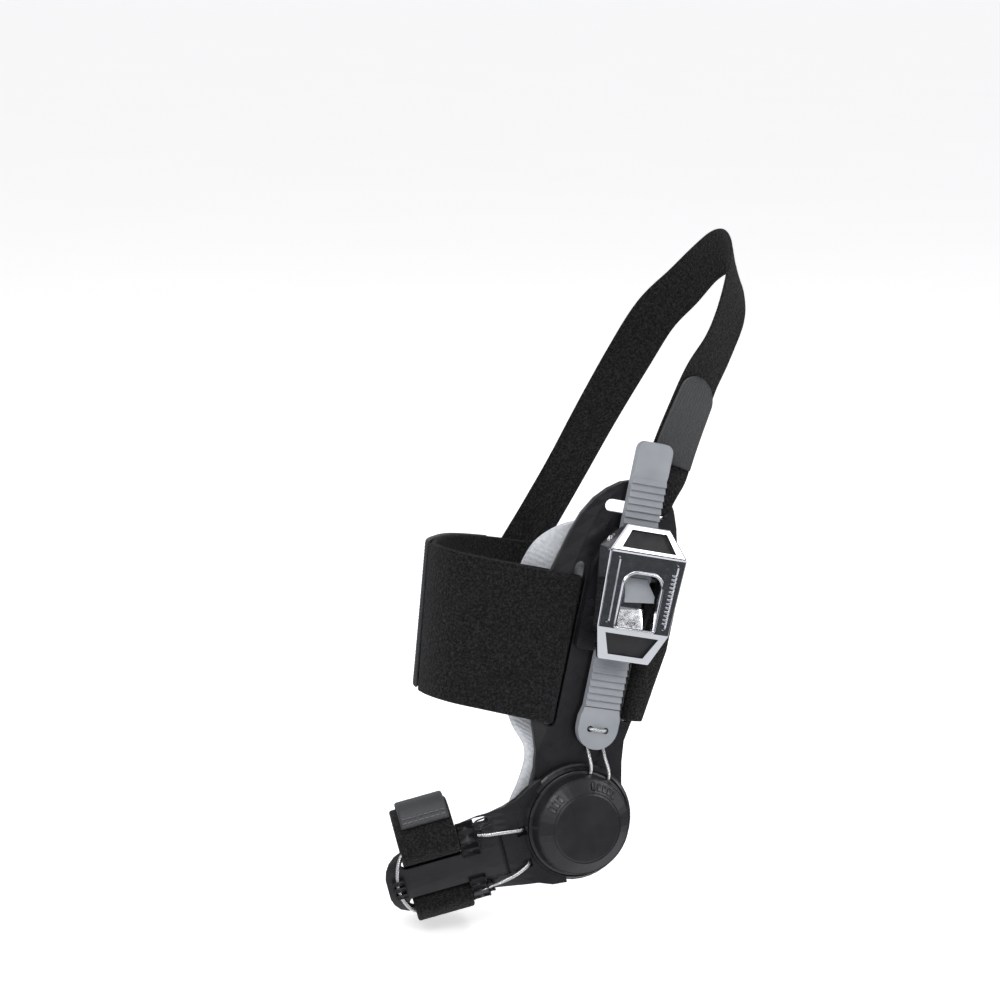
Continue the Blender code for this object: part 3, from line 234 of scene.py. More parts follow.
TOE_CABLE_UPPER_END = [
    # across from the hinge, along and lift, in millimetres in the arm's frame
    (-19.0, 4.5, 8.7), (-20.0, 4.7, 9.6), (-23.0, 5.6, 10.15), (-27.0, 6.6, 10.1), (-31.0, 7.3, 9.4),
]
TOE_CABLE_LOWER_END = [
    (-31.0, -9.9, 9.4), (-27.0, -9.4, 10.1), (-23.5, -8.6, 10.15), (-20.6, -7.7, 9.7), (-19.7, -7.4, 8.7),
]

LAMPS = [
    # name, place, side length, power in watts
    ("key", (-0.75, -0.95, 0.95), 0.7, 8.5),
    ("fill", (0.95, -0.75, 0.55), 0.6, 3.5),
    ("top", (0.1, 0.25, 1.3), 0.9, 7.0),
]
SKY_STOPS = [
    # height as a share of the sky from its lowest point, brightness in reflections
    (0.30, 0.70),
    (0.37, 0.045),
    (0.465, 0.06),
    (0.50, 1.00),
    (0.60, 0.80),
    (0.66, 0.09),
    (0.83, 0.08),
    (0.90, 0.90),
]

PLATE_FRAME = Euler((math.radians(90), PLATE_LEAN, 0)).to_matrix().to_4x4()
ARM_FRAME = Euler((math.radians(90), -ARM_DIP, 0)).to_matrix().to_4x4()
WORLD_FRAME = Euler((0, 0, 0)).to_matrix().to_4x4()


# Curves and shapes
def smooth(points, steps, closed=False):
    """Read a smooth curve through the points, a few steps for each span."""
    points = [Vector(point) for point in points]
    count = len(points)
    curve = []
    for i in range(count if closed else count - 1):
        here = points[i]
        there = points[(i + 1) % count]
        before = points[i - 1] if closed or i else here
        after = points[(i + 2) % count] if closed or i + 2 < count else there
        for step in range(steps):
            t = step / steps
            lean_in = (there - before) / 2
            lean_out = (after - here) / 2
            curve.append(here * (2 * t ** 3 - 3 * t ** 2 + 1) + lean_in * (t ** 3 - 2 * t ** 2 + t)
                         + there * (3 * t ** 2 - 2 * t ** 3) + lean_out * (t ** 3 - t ** 2))
    if not closed:
        curve.append(points[-1])
    return curve


def spread(points, step, reach=3):
    """Space the points of a path evenly, measured over their first few values."""
    lengths = [0.0]
    for a, b in zip(points, points[1:]):
        lengths.append(lengths[-1] + math.dist(a[:reach], b[:reach]))
    count = max(2, round(lengths[-1] / step))
    even = []
    place = 0
    for i in range(count + 1):
        goal = lengths[-1] * i / count
        while place < len(points) - 2 and lengths[place + 1] < goal:
            place += 1
        span = max(lengths[place + 1] - lengths[place], 1e-9)
        even.append(points[place].lerp(points[place + 1], (goal - lengths[place]) / span))
    return even


def path_length(points, reach=3):
    return sum(math.dist(a[:reach], b[:reach]) for a, b in zip(points, points[1:]))


def ease(value, start, end):
    share = min(max((value - start) / (end - start), 0.0), 1.0)
    return share * share * (3 - 2 * share)


def arc(centre, radius, start, end, steps):
    """Points on an arc, angles in degrees."""
    points = []
    for step in range(steps + 1):
        angle = math.radians(start + (end - start) * step / steps)
        points.append((centre[0] + radius * math.cos(angle), centre[1] + radius * math.sin(angle)))
    return points


def offset_path(points, distance):
    shifted = []
    last = len(points) - 1
    for i, point in enumerate(points):
        along = (points[min(i + 1, last)] - points[max(i - 1, 0)]).normalized()
        shifted.append(point + Vector((-along.y, along.x)) * distance)
    return shifted


def wing(x, y):
    """How far the plate curves toward the foot at its two long edges."""
    beyond = max(abs(x) - FLAT_HALF, 0.0)
    return -beyond ** 2 / (2 * WING_RADIUS) * ease(y, PLATE_END_RADIUS, 1.9 * PLATE_END_RADIUS)


def arm_point(distance, across, lift):
    """A point at a distance from the hinge along the arm, across it, and over its outer face."""
    curl = ease(distance, 0.72 * NECK_LENGTH, NECK_LENGTH + 0.30 * TOE_PLATE_LENGTH)
    radius = TOE_RADIUS + ARM_THICK
    flat = max(abs(across) - 0.10 * TOE_PLATE_WIDTH, 0.0)
    angle = min(flat / radius, 1.35) * curl
    side = math.copysign(1.0, across)
    bent = radius * math.sin(angle) + (flat - radius * angle) * math.cos(angle)
    y = side * (bent + min(abs(across), 0.10 * TOE_PLATE_WIDTH)) + lift * side * math.sin(angle)
    drop = radius * (1 - math.cos(angle)) + (flat - radius * angle) * math.sin(angle)
    face = HUB_TOP - drop + lift * math.cos(angle)
    beyond = max(distance - NECK_LENGTH, 0.0)
    x = -min(distance, NECK_LENGTH) - beyond * math.cos(TOE_PLATE_TURN)
    x -= (face - HUB_TOP) * math.sin(TOE_PLATE_TURN) * (1.0 if beyond else 0.0)
    face = HUB_TOP + (face - HUB_TOP) * (math.cos(TOE_PLATE_TURN) if beyond else 1.0)
    return Vector((x, y, face - beyond * math.sin(TOE_PLATE_TURN)))


# Materials
def shader(name, colour, roughness, metallic=0.0):
    """A node material with its principled shader and a texture coordinate node."""
    material = bpy.data.materials.new(name)
    material.use_nodes = True
    tree = material.node_tree
    main = tree.nodes["Principled BSDF"]
    main.inputs["Base Color"].default_value = (*colour, 1.0)
    main.inputs["Roughness"].default_value = roughness
    main.inputs["Metallic"].default_value = metallic
    place = tree.nodes.new("ShaderNodeTexCoord")
    return material, tree, main, place


def grain(tree, vector, scale, detail=3.0, rough=0.55):
    node = tree.nodes.new("ShaderNodeTexNoise")
    node.inputs["Scale"].default_value = scale
    node.inputs["Detail"].default_value = detail
    node.inputs["Roughness"].default_value = rough
    tree.links.new(vector, node.inputs["Vector"])
    return node.outputs["Fac"]


def cells(tree, vector, scale):
    node = tree.nodes.new("ShaderNodeTexVoronoi")
    node.inputs["Scale"].default_value = scale
    tree.links.new(vector, node.inputs["Vector"])
    return node.outputs["Distance"]


def spread_to(tree, value, low, high, start=0.3, end=0.7):
    node = tree.nodes.new("ShaderNodeMapRange")
    node.inputs["From Min"].default_value = start
    node.inputs["From Max"].default_value = end
    node.inputs["To Min"].default_value = low
    node.inputs["To Max"].default_value = high
    tree.links.new(value, node.inputs["Value"])
    return node.outputs["Result"]


def tint(tree, value, dark, light, start=0.3, end=0.7):
    node = tree.nodes.new("ShaderNodeValToRGB")
    node.color_ramp.elements[0].position = start
    node.color_ramp.elements[0].color = (*dark, 1.0)
    node.color_ramp.elements[1].position = end
    node.color_ramp.elements[1].color = (*light, 1.0)
    tree.links.new(value, node.inputs["Fac"])
    return node.outputs["Color"]


def relief(tree, main, layers):
    """Chain bumps: (height, strength, distance) for each layer."""
    normal = None
    for height, strength, distance in layers:
        node = tree.nodes.new("ShaderNodeBump")
        node.inputs["Strength"].default_value = strength
        node.inputs["Distance"].default_value = distance
        tree.links.new(height, node.inputs["Height"])
        if normal:
            tree.links.new(normal, node.inputs["Normal"])
        normal = node.outputs["Normal"]
    tree.links.new(normal, main.inputs["Normal"])


def moulded(name, dark, light, rough_low, rough_high, bump_strength=0.16):
    """Moulded plastic: fine spark texture, faint colour drift and uneven polish."""
    material, tree, main, place = shader(name, light, rough_high)
    where = place.outputs["Object"]
    tree.links.new(tint(tree, grain(tree, where, 90.0, 2.0), dark, light), main.inputs["Base Color"])
    polish = grain(tree, where, 320.0, 4.0, 0.65)
    tree.links.new(spread_to(tree, polish, rough_low, rough_high), main.inputs["Roughness"])
    relief(tree, main, [(grain(tree, where, 3200.0, 2.0), bump_strength, 0.00006),
                        (grain(tree, where, 160.0, 2.0), 0.04, 0.0002)])
    return material


def fleece_material():
    """Brushed loop pile: soft dark curls with a faint sheen."""
    material, tree, main, place = shader("fleece_pile", (0.012, 0.012, 0.013), 0.95)
    where = place.outputs["Object"]
    curl = grain(tree, where, 1300.0, 5.0, 0.75)
    tree.links.new(tint(tree, curl, (0.0012, 0.0012, 0.0014), (0.036, 0.036, 0.039), 0.44, 0.74),
                   main.inputs["Base Color"])
    main.inputs["Sheen Weight"].default_value = 0.06
    main.inputs["Sheen Roughness"].default_value = 0.55
    main.inputs["Specular IOR Level"].default_value = 0.15
    relief(tree, main, [(cells(tree, where, 1000.0), 0.8, 0.0004), (curl, 1.0, 0.0008)])
    return material


def hook_material():
    """Hook tape: satin nylon with fine rows of hooks."""
    material, tree, main, place = shader("hook_rows", (0.045, 0.047, 0.050), 0.55)
    where = place.outputs["Object"]
    rows = grain(tree, where, 2400.0, 2.0, 0.6)
    tree.links.new(tint(tree, rows, (0.016, 0.017, 0.018), (0.050, 0.052, 0.055)), main.inputs["Base Color"])
    tree.links.new(spread_to(tree, rows, 0.42, 0.62), main.inputs["Roughness"])
    relief(tree, main, [(rows, 0.5, 0.00018)])
    return material


def lining_material():
    """Soft knit face over foam, light grey."""
    material, tree, main, place = shader("lining_knit", (0.62, 0.64, 0.67), 0.9)
    where = place.outputs["Object"]
    tree.links.new(tint(tree, grain(tree, where, 900.0, 3.0), (0.50, 0.52, 0.55), (0.64, 0.66, 0.69)),
                   main.inputs["Base Color"])
    main.inputs["Sheen Weight"].default_value = 0.1
    knit = tree.nodes.new("ShaderNodeTexWave")
    knit.bands_direction = "DIAGONAL"
    knit.inputs["Scale"].default_value = 300.0
    knit.inputs["Distortion"].default_value = 0.6
    tree.links.new(where, knit.inputs["Vector"])
    relief(tree, main, [(cells(tree, where, 1400.0), 0.5, 0.0002), (knit.outputs["Fac"], 0.4, 0.00025)])
    return material


def chrome_material():
    """Polished chrome with hairline wear and a slight wave of the pressed sheet."""
    material, tree, main, place = shader("polished_chrome", (0.80, 0.81, 0.84), 0.08, 1.0)
    where = place.outputs["Object"]
    wear = grain(tree, where, 480.0, 5.0, 0.7)
    tree.links.new(spread_to(tree, wear, 0.045, 0.16), main.inputs["Roughness"])
    relief(tree, main, [(grain(tree, where, 130.0, 1.0), 0.10, 0.0004)])
    return material


def steel_material():
    """Drawn steel wire."""
    material, tree, main, place = shader("drawn_steel", (0.78, 0.78, 0.77), 0.28, 1.0)
    where = place.outputs["Object"]
    tree.links.new(spread_to(tree, grain(tree, where, 1200.0), 0.2, 0.42), main.inputs["Roughness"])
    relief(tree, main, [(grain(tree, where, 2600.0), 0.2, 0.00005)])
    return material


def thread_material():
    material, tree, main, place = shader("thread", (0.030, 0.030, 0.032), 0.7)
    where = place.outputs["Object"]
    twist = grain(tree, where, 3000.0)
    tree.links.new(tint(tree, twist, (0.08, 0.08, 0.085), (0.22, 0.22, 0.23)), main.inputs["Base Color"])
    relief(tree, main, [(twist, 0.5, 0.00008)])
    return material


# Pieces
def add(name, mesh, frame, material, body):
    """Put a mesh into the scene as a piece that rides on a body."""
    mesh.transform(frame)
    mesh.materials.clear()
    mesh.materials.append(material)
    mesh.shade_smooth()
    piece = bpy.data.objects.new(name, mesh)
    bpy.context.scene.collection.objects.link(piece)
    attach(piece, body)
    return piece


def band_mesh(name, rows, place, width, thickness, closed=False, step=0.0009, pile=0.0, rib=0.0, seed=0.0):
    """A strap with round edges: rows of place(row, share of the width), thickened both ways."""
    edge = thickness / 2 / width
    count = max(3, round(width * (1 - 2 * edge) / step))
    rim = [(edge * (1 - math.cos(a)), math.sin(a)) for a in (0.0, math.pi / 6, math.pi / 3)]
    section = rim + [(edge + (1 - 2 * edge) * i / count, 1.0) for i in range(count + 1)]
    section += [(1 - share, height) for share, height in reversed(rim)]
    grid = [[place(row, share) for share, height in section] for row in range(rows)]
    shift = Vector((seed, 2 * seed, -seed))
    body = bmesh.new()
    sides = len(section)
    rings = []
    for r in range(rows):
        ahead = grid[(r + 1) % rows] if closed else grid[min(r + 1, rows - 1)]
        behind = grid[r - 1] if closed else grid[max(r - 1, 0)]
        taper = 1.0 if closed or 0 < r < rows - 1 else 0.45
        upper = []
        lower = []
        for c, (share, height) in enumerate(section):
            across = grid[r][min(c + 1, sides - 1)] - grid[r][max(c - 1, 0)]
            normal = across.cross(ahead[c] - behind[c]).normalized()
            point = grid[r][c]
            wave = noise.noise(point * 900.0 + shift) + 0.6 * noise.noise(point * 2100.0 + shift)
            soft = noise.noise(point * 140.0 + shift)
            half = height * taper * thickness / 2
            lift = half + height * pile * (0.6 * wave + 0.5 * soft)
            if rib:
                lift += rib * height * (abs(math.sin(math.pi * share * width / RIB_PITCH)) - 0.5)
            upper.append(body.verts.new(point + normal * lift))
            if 0 < c < sides - 1:
                lower.append(body.verts.new(point - normal * (half + height * pile * 0.4 * wave)))
        rings.append(upper + lower[::-1])
    size = len(rings[0])
    for r in range(rows if closed else rows - 1):
        here = rings[r]
        there = rings[(r + 1) % rows]
        for c in range(size):
            body.faces.new((here[c], here[(c + 1) % size], there[(c + 1) % size], there[c]))
    if not closed:
        for ring in (rings[0], rings[-1]):
            for c in range(sides - 1):
                corners = [ring[c], ring[c + 1], ring[-(c + 1) % size], ring[-c % size]]
                body.faces.new(list(dict.fromkeys(corners)))
    bmesh.ops.recalc_face_normals(body, faces=body.faces)
    mesh = bpy.data.meshes.new(name)
    body.to_mesh(mesh)
    body.free()
    return mesh


def tube_mesh(name, points, radius, closed=False, sides=8):
    """A round tube along 3D points, made with a curve and read back as a mesh."""
    curve = bpy.data.curves.new(name, "CURVE")
    curve.dimensions = "3D"
    curve.bevel_depth = radius
    curve.bevel_resolution = max(0, (sides - 4) // 2)
    curve.use_fill_caps = not closed
    spline = curve.splines.new("POLY")
    spline.points.add(len(points) - 1)
    for point, place in zip(spline.points, points):
        point.co = (*place, 1)
    spline.use_cyclic_u = closed
    holder = bpy.data.objects.new(name, curve)
    mesh = bpy.data.meshes.new_from_object(holder)
    bpy.data.objects.remove(holder)
    return mesh


def joined(name, meshes):
    """One mesh from several."""
    body = bmesh.new()
    for mesh in meshes:
        body.from_mesh(mesh)
        bpy.data.meshes.remove(mesh)
    mesh = bpy.data.meshes.new(name)
    body.to_mesh(mesh)
    body.free()
    return mesh


def block_mesh(name, centre, size, radius, x_axis=(1, 0, 0), y_axis=(0, 1, 0)):
    """A box with rounded edges, laid on two axes."""
    x = Vector(x_axis).normalized()
    y = Vector(y_axis).normalized()
    z = x.cross(y)
    body = bmesh.new()
    bmesh.ops.create_cube(body, size=1)
    for vert in body.verts:
        a, b, c = (value * length for value, length in zip(vert.co, size))
        vert.co = Vector(centre) + x * a + y * b + z * c
    bmesh.ops.bevel(body, geom=body.edges[:], offset=radius, segments=3, profile=0.5, affect="EDGES",
                    clamp_overlap=True)
    mesh = bpy.data.meshes.new(name)
    body.to_mesh(mesh)
    body.free()
    return mesh


def strands(name, points, body, frame, material):
    """A twisted cable: six wires round a core along the points."""
    step = 0.0004
    pitch = 0.0042
    wire = 0.36 * CABLE_RADIUS
    middle = spread(smooth(points, 6), step)
    side = Vector((0.3, 0.2, 1.0))
    meshes = [tube_mesh(name + "_core", middle, 1.02 * wire)]
    frames = []
    for i, point in enumerate(middle):
        along = (middle[min(i + 1, len(middle) - 1)] - middle[max(i - 1, 0)]).normalized()
        side = (side - side.dot(along) * along).normalized()
        frames.append((point, side.copy(), along.cross(side)))
    for k in range(6):
        wound = []
        for i, (point, a, b) in enumerate(frames):
            angle = 2 * math.pi * (k / 6 + i * step / pitch)
            wound.append(point + (a * math.cos(angle) + b * math.sin(angle)) * (CABLE_RADIUS - wire))
        meshes.append(tube_mesh(name + "_wire", wound, wire, sides=6))
    return add(name, joined(name, meshes), frame, material, body)


def stitch_row(start, end, out):
    """Short thread stitches on a surface from start to end, standing a little out of it."""
    length = 0.0013
    pitch = 0.0018
    count = round((end - start).length / pitch)
    half = (end - start).normalized() * length / 2
    meshes = []
    for i in range(count):
        middle = start.lerp(end, (i + 0.5) / count)
        thread = [middle - half, middle - half * 0.6 + out * 0.0002, middle + half * 0.6 + out * 0.0002,
                  middle + half]
        meshes.append(tube_mesh("stitch", thread, 0.00015, sides=6))
    return meshes


# Lining pad
def lining_pad(material):
    rows = spread([Vector((a * PLATE_LENGTH, f * PLATE_WIDTH, r * PLATE_WIDTH))
                   for a, f, r in smooth(PAD_ROWS, 5)], 0.001, 1)
    pocket_start = FRONT_SLOT_X / 2
    pocket_full = 0.7 * FRONT_SLOT_X

    def place(row, share):
        y, front, rear = rows[row]
        x = front + (rear - front) * share
        pocket = PAD_POCKET * ease(-x, -pocket_start, -pocket_full)
        pocket *= ease(y, 0.7 * MIDFOOT_BASE_Y, 0.93 * MIDFOOT_BASE_Y)
        return Vector((x, y, PAD_VISIBLE_THICK / 2 + wing(x, y) - pocket))

    mesh = band_mesh("lining_pad_soft", len(rows), place, 0.8 * PLATE_WIDTH, PAD_VISIBLE_THICK,
                     pile=PAD_PILE)
    piece = add("lining_pad_soft", mesh, PLATE_FRAME, material, "frame")
    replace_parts(piece, "lining_pad")


# Midfoot strap
def midfoot_round():
    return [Vector((across * INSTEP_RISE, -depth * FOOT_WIDTH)) for across, depth in MIDFOOT_ROUND]


def plate_face(x, outside):
    """Lift of the strap's middle over the plate's outer face or under its inner one."""
    reach = GAP + FACET_ROOM + STRAP_THICK / 2
    y = MIDFOOT_BASE_Y + MIDFOOT_WIDTH / 2
    return (PLATE_TOP + reach if outside else PLATE_BOTTOM - reach) + wing(x, y)


def midfoot_layers():
    """The strap's path of across and lift up to the hook tab, and the rest of it under the tab."""
    rear_edge = 0.41 * PLATE_WIDTH
    start = [(REAR_SLOT_X + 0.0001, PLATE_BOTTOM + 0.0003), (REAR_SLOT_X + 0.0001, PLATE_TOP - 0.0008),
             (REAR_SLOT_X + 0.0012, PLATE_TOP + 0.0006)]
    start.append((REAR_SLOT_X + 0.0032, plate_face(REAR_SLOT_X + 0.0032, True)))
    start.append((rear_edge, plate_face(rear_edge, True)))
    around = midfoot_round()
    front_edge = -0.575 * PLATE_WIDTH
    fold_x = FRONT_SLOT_X - 0.0018
    under = [(x, plate_face(x, False)) for x in (front_edge - 0.001, 0.75 * front_edge, fold_x)]
    middle = (PLATE_TOP + PLATE_BOTTOM) / 2 + wing(FRONT_SLOT_X, PLATE_LENGTH / 2)
    turn = (plate_face(FRONT_SLOT_X, True) - plate_face(FRONT_SLOT_X, False)) / 2
    fold = arc((fold_x, middle), turn, -60, 60, 4)
    over = [(x, plate_face(x, True)) for x in (fold_x, 0.75 * front_edge, front_edge)]
    first = smooth([Vector(p) for p in start] + around + [Vector(p) for p in under], 2)
    back = offset_path(smooth(list(reversed(around)), 2), -STRAP_LAYER)
    over_points = smooth([Vector(p) for p in over] + [back[2]], 2)[:-1]
    fleece_end = 2 * 4 + 1
    path = first + [Vector(p) for p in fold] + over_points + back[2:fleece_end]
    hook = back[fleece_end:fleece_end + 9]
    hook = [hook[0].lerp(hook[1], GAP / (hook[1] - hook[0]).length)] + hook[1:]
    return path, hook


def midfoot_piece(name, path, material, pile, rib, replaced, seed):
    middle = MIDFOOT_BASE_Y + MIDFOOT_WIDTH / 2
    edge = -0.575 * PLATE_WIDTH
    rear = 0.30 * PLATE_WIDTH
    even = spread(smooth(path, 4), 0.0009, 2)

    def place(row, column):
        x, lift = even[row]
        share = 2 * column - 1
        y = middle + share * MIDFOOT_WIDTH / 2
        y += REAR_SLOT_SHIFT * ease(x, -0.1 * INSTEP_RISE, rear)
        if x < edge:
            x = edge + (x - edge) * (1 + 0.115 * share)
        if x > rear:
            x = rear + (x - rear) * (1 + 0.54 * min(share, 0.0))
        return Vector((x, y, lift))

    step = 0.0003 if rib else 0.0009
    mesh = band_mesh(name, len(even), place, MIDFOOT_WIDTH, STRAP_THICK, step=step, pile=pile, rib=rib,
                     seed=seed)
    piece = add(name, mesh, PLATE_FRAME, material, "frame")
    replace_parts(piece, replaced)
    path_length(even, 2)
    return piece


# Heel strap
def plate_point(x, y, lift):
    """World place of a point of the plate's frame."""
    across = Vector((math.cos(PLATE_LEAN), 0, -math.sin(PLATE_LEAN)))
    along = Vector((math.sin(PLATE_LEAN), 0, math.cos(PLATE_LEAN)))
    return across * x + along * y + Vector((0, -lift, 0))


def heel_stations():
    """Middle, width direction and width: out of the plate's top slot, then round the heel."""
    narrow = 0.58 * HEEL_WIDTH
    middle = TOP_SLOT_REAR_X - 0.0010 - narrow / 2
    face = PLATE_TOP + GAP + HEEL_STRAP_THICK / 2
    across = plate_point(1, 0, 0)
    stations = []
    for x, y, lift, width in ((0, TOP_SLOT_Y - 0.0006, PLATE_BOTTOM + 0.0004, narrow),
                              (0, TOP_SLOT_Y - 0.0004, PLATE_TOP - 0.0006, narrow),
                              (0.0002, TOP_SLOT_Y + 0.0008, face - 0.0001, narrow),
                              (0.0010, TOP_SLOT_Y + 0.0040, face, 1.1 * narrow),
                              (0.0018, PLATE_LENGTH + 0.0006, face - 0.0001, 1.35 * narrow)):
        stations.append(Vector((*plate_point(middle + x, y, lift), *across, width)))
    for x, y, z, *side in HEEL_ROUTE:
        stations.append(Vector((x * HEEL_BACK, y * FOOT_WIDTH, z * HEEL_RISE, *side, HEEL_WIDTH)))
    return stations


def heel_piece(name, stations, material, pile, rib, lift, share_wide, replaced,
               round_end=0.0):
    even = spread(smooth(stations, 6), 0.0008)
    length = path_length(even)
    last = len(even) - 1

    def place(row, share):
        station = even[row]
        middle = Vector(station[:3])
        ahead = Vector(even[min(row + 1, last)][:3])
        along = (ahead - Vector(even[max(row - 1, 0)][:3])).normalized()
        side = Vector(station[3:6])
        across = (side - side.dot(along) * along).normalized()
        left = length * (last - row) / last
        narrow = 1.0
        if round_end and left < round_end:
            narrow = math.sqrt(max(1 - (1 - left / round_end) ** 2, 0.02))
        reach = (share - 0.5) * station[6] * share_wide * narrow
        return middle + across * reach + across.cross(along) * lift

    step = 0.0002 if rib else 0.0008
    mesh = band_mesh(name, len(even), place, HEEL_WIDTH, HEEL_STRAP_THICK, step=step, pile=pile, rib=rib,
                     seed=3.1)
    piece = add(name, mesh, WORLD_FRAME, material, "frame")
    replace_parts(piece, replaced)
    return piece


# Toe strap
def toe_free_point(across, lift, distance):
    beyond = distance - NECK_LENGTH
    x = -NECK_LENGTH - beyond * math.cos(TOE_PLATE_TURN) - lift * math.sin(TOE_PLATE_TURN)
    return Vector((x, across, HUB_TOP + lift * math.cos(TOE_PLATE_TURN) - beyond * math.sin(TOE_PLATE_TURN)))


def toe_loop():
    """Near and far edge of the closed loop, as stations of six values, and those of the tab."""
    inside = -(ARM_THICK + GAP + STRAP_THICK / 2)
    outside = 2 * CABLE_RADIUS + 3 * GAP + STRAP_THICK / 2
    upper = UPPER_SLOT * TOE_PLATE_WIDTH
    lower = LOWER_SLOT * TOE_PLATE_WIDTH
    through = -0.5 * ARM_THICK
    behind = [(lower + 0.0022, 1.12 * inside), ((upper + lower) / 2, inside), (upper - 0.0028, 1.10 * inside),
              (upper - 0.0010, 1.12 * inside), (upper - 0.0001, 0.8 * inside), (upper + 0.0002, through),
              (upper + 0.0006, 0.4 * outside), (upper + 0.0024, outside),
              (0.33 * TOE_PLATE_WIDTH, outside), (0.42 * TOE_PLATE_WIDTH, outside)]
    back = [(-0.49 * TOE_PLATE_WIDTH, outside), (-0.40 * TOE_PLATE_WIDTH, outside),
            (lower - 0.0012, 0.4 * outside), (lower - 0.0006, through), (lower - 0.0004, 0.85 * inside),
            (lower + 0.0007, 1.18 * inside)]
    free = [Vector((across * TOE_RADIUS, -depth * TOE_RADIUS)) for across, depth in TOE_ROUND]
    near = NECK_LENGTH + TOE_STRAP_INSET
    far = near + TOE_STRAP_WIDTH
    loop = [Vector((*arm_point(near, *p), *arm_point(far, *p))) for p in behind]
    loop += [Vector((*toe_free_point(*p, near), *toe_free_point(*p, far))) for p in free]
    loop += [Vector((*arm_point(near, *p), *arm_point(far, *p))) for p in back]
    tab_path = offset_path(smooth(free[:6], 2), STRAP_LAYER)
    near += 0.04 * TOE_STRAP_WIDTH
    far = near + 0.84 * TOE_STRAP_WIDTH
    tab = [Vector((*toe_free_point(*p, near), *toe_free_point(*p, far))) for p in tab_path]
    return loop, tab


def toe_piece(name, even, width, material, pile, rib, replaced, closed):
    def place(row, share):
        station = even[row]
        return Vector(station[:3]).lerp(Vector(station[3:6]), share)

    step = 0.0002 if rib else 0.0008
    mesh = band_mesh(name, len(even), place, width, STRAP_THICK, closed=closed, step=step, pile=pile, rib=rib,
                     seed=5.7)
    piece = add(name, mesh, ARM_FRAME, material, "toe_arm")
    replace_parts(piece, replaced)
    length = path_length(even) + (math.dist(even[0][:3], even[-1][:3]) if closed else 0.0)
    return piece


def toe_straps(fleece, hook, thread):
    loop, tab = toe_loop()
    even = spread(smooth(loop, 5, closed=True), 0.0008)
    toe_piece("toe_strap_soft", even, TOE_STRAP_WIDTH, fleece, FLEECE_PILE, 0.0, "toe_strap",
              True)
    tab_even = spread(smooth(tab, 4), 0.0006)
    toe_piece("toe_hook_tab", tab_even, 0.84 * TOE_STRAP_WIDTH, hook, 0.0, TOE_RIB,
              "toe_strap_hook", False)
    heart = toe_free_point(0.0, -TOE_RADIUS, NECK_LENGTH + TOE_STRAP_INSET)
    rows = []
    for row in (2, 5):
        near = Vector(tab_even[row][:3])
        far = Vector(tab_even[row][3:6])
        out = (far - near).cross(Vector(tab_even[row + 1][:3]) - near).normalized()
        out *= math.copysign(1.0, out.dot(near - heart))
        lift = out * (STRAP_THICK / 2 + 0.0001)
        rows += stitch_row(near.lerp(far, 0.04) + lift, near.lerp(far, 0.96) + lift, out)
    add("toe_tab_stitches", joined("toe_tab_stitches", rows), ARM_FRAME, thread, "toe_arm")


# Cables
def cables(steel):
    ladder = [Vector(point) * MILLIMETRE for point in LADDER_CABLE_ROUTE]
    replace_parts(strands("ladder_cable_strands", ladder, "frame", PLATE_FRAME, steel), "cable_upper")
    toe = [Vector(point) * MILLIMETRE for point in TOE_CABLE_UPPER_END]
    for along, across, lift in TOE_CABLE_ROUTE:
        toe.append(arm_point(NECK_LENGTH + along * MILLIMETRE, across * MILLIMETRE, lift * MILLIMETRE))
    toe += [Vector(point) * MILLIMETRE for point in TOE_CABLE_LOWER_END]
    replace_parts(strands("toe_cable_strands", toe, "toe_arm", ARM_FRAME, steel), "cable_toe")


# Small fittings
def window_outline():
    half = 0.24 * LEVER_WIDTH
    low = 0.262 * LEVER_LENGTH + LEVER_START_Y
    high = 0.655 * LEVER_LENGTH + LEVER_START_Y
    corner = 0.62 * half
    outline = arc((half - corner, high - corner), corner, 0, 90, 10)
    outline += arc((-half + corner, high - corner), corner, 90, 180, 10)
    outline += arc((-half + 0.25 * corner, low + 0.25 * corner), 0.25 * corner, 180, 270, 5)
    outline += arc((half - 0.25 * corner, low + 0.25 * corner), 0.25 * corner, 270, 360, 5)
    return outline


def lever_fittings(chrome):
    """Raised rim of the window and the teeth in the lever's rear slot."""
    rim = [Vector((1.07 * x, y + 0.07 * (y - 0.078), LEVER_LIFT + 0.0001)) for x, y in window_outline()]
    add("lever_window_rim", tube_mesh("lever_window_rim", rim, 0.00055, True), PLATE_FRAME, chrome,
        "lever")
    teeth = []
    for i in range(13):
        y = 0.325 * LEVER_LENGTH + LEVER_START_Y + i * 0.00135
        x = 0.378 * LEVER_WIDTH + 0.012 * (y - LEVER_START_Y)
        teeth.append(block_mesh("tooth", (x, y, LEVER_LIFT - 0.0003), (0.0014, 0.0006, 0.0006), 0.00012))
    add("lever_slot_teeth", joined("lever_slot_teeth", teeth), PLATE_FRAME, chrome, "lever")


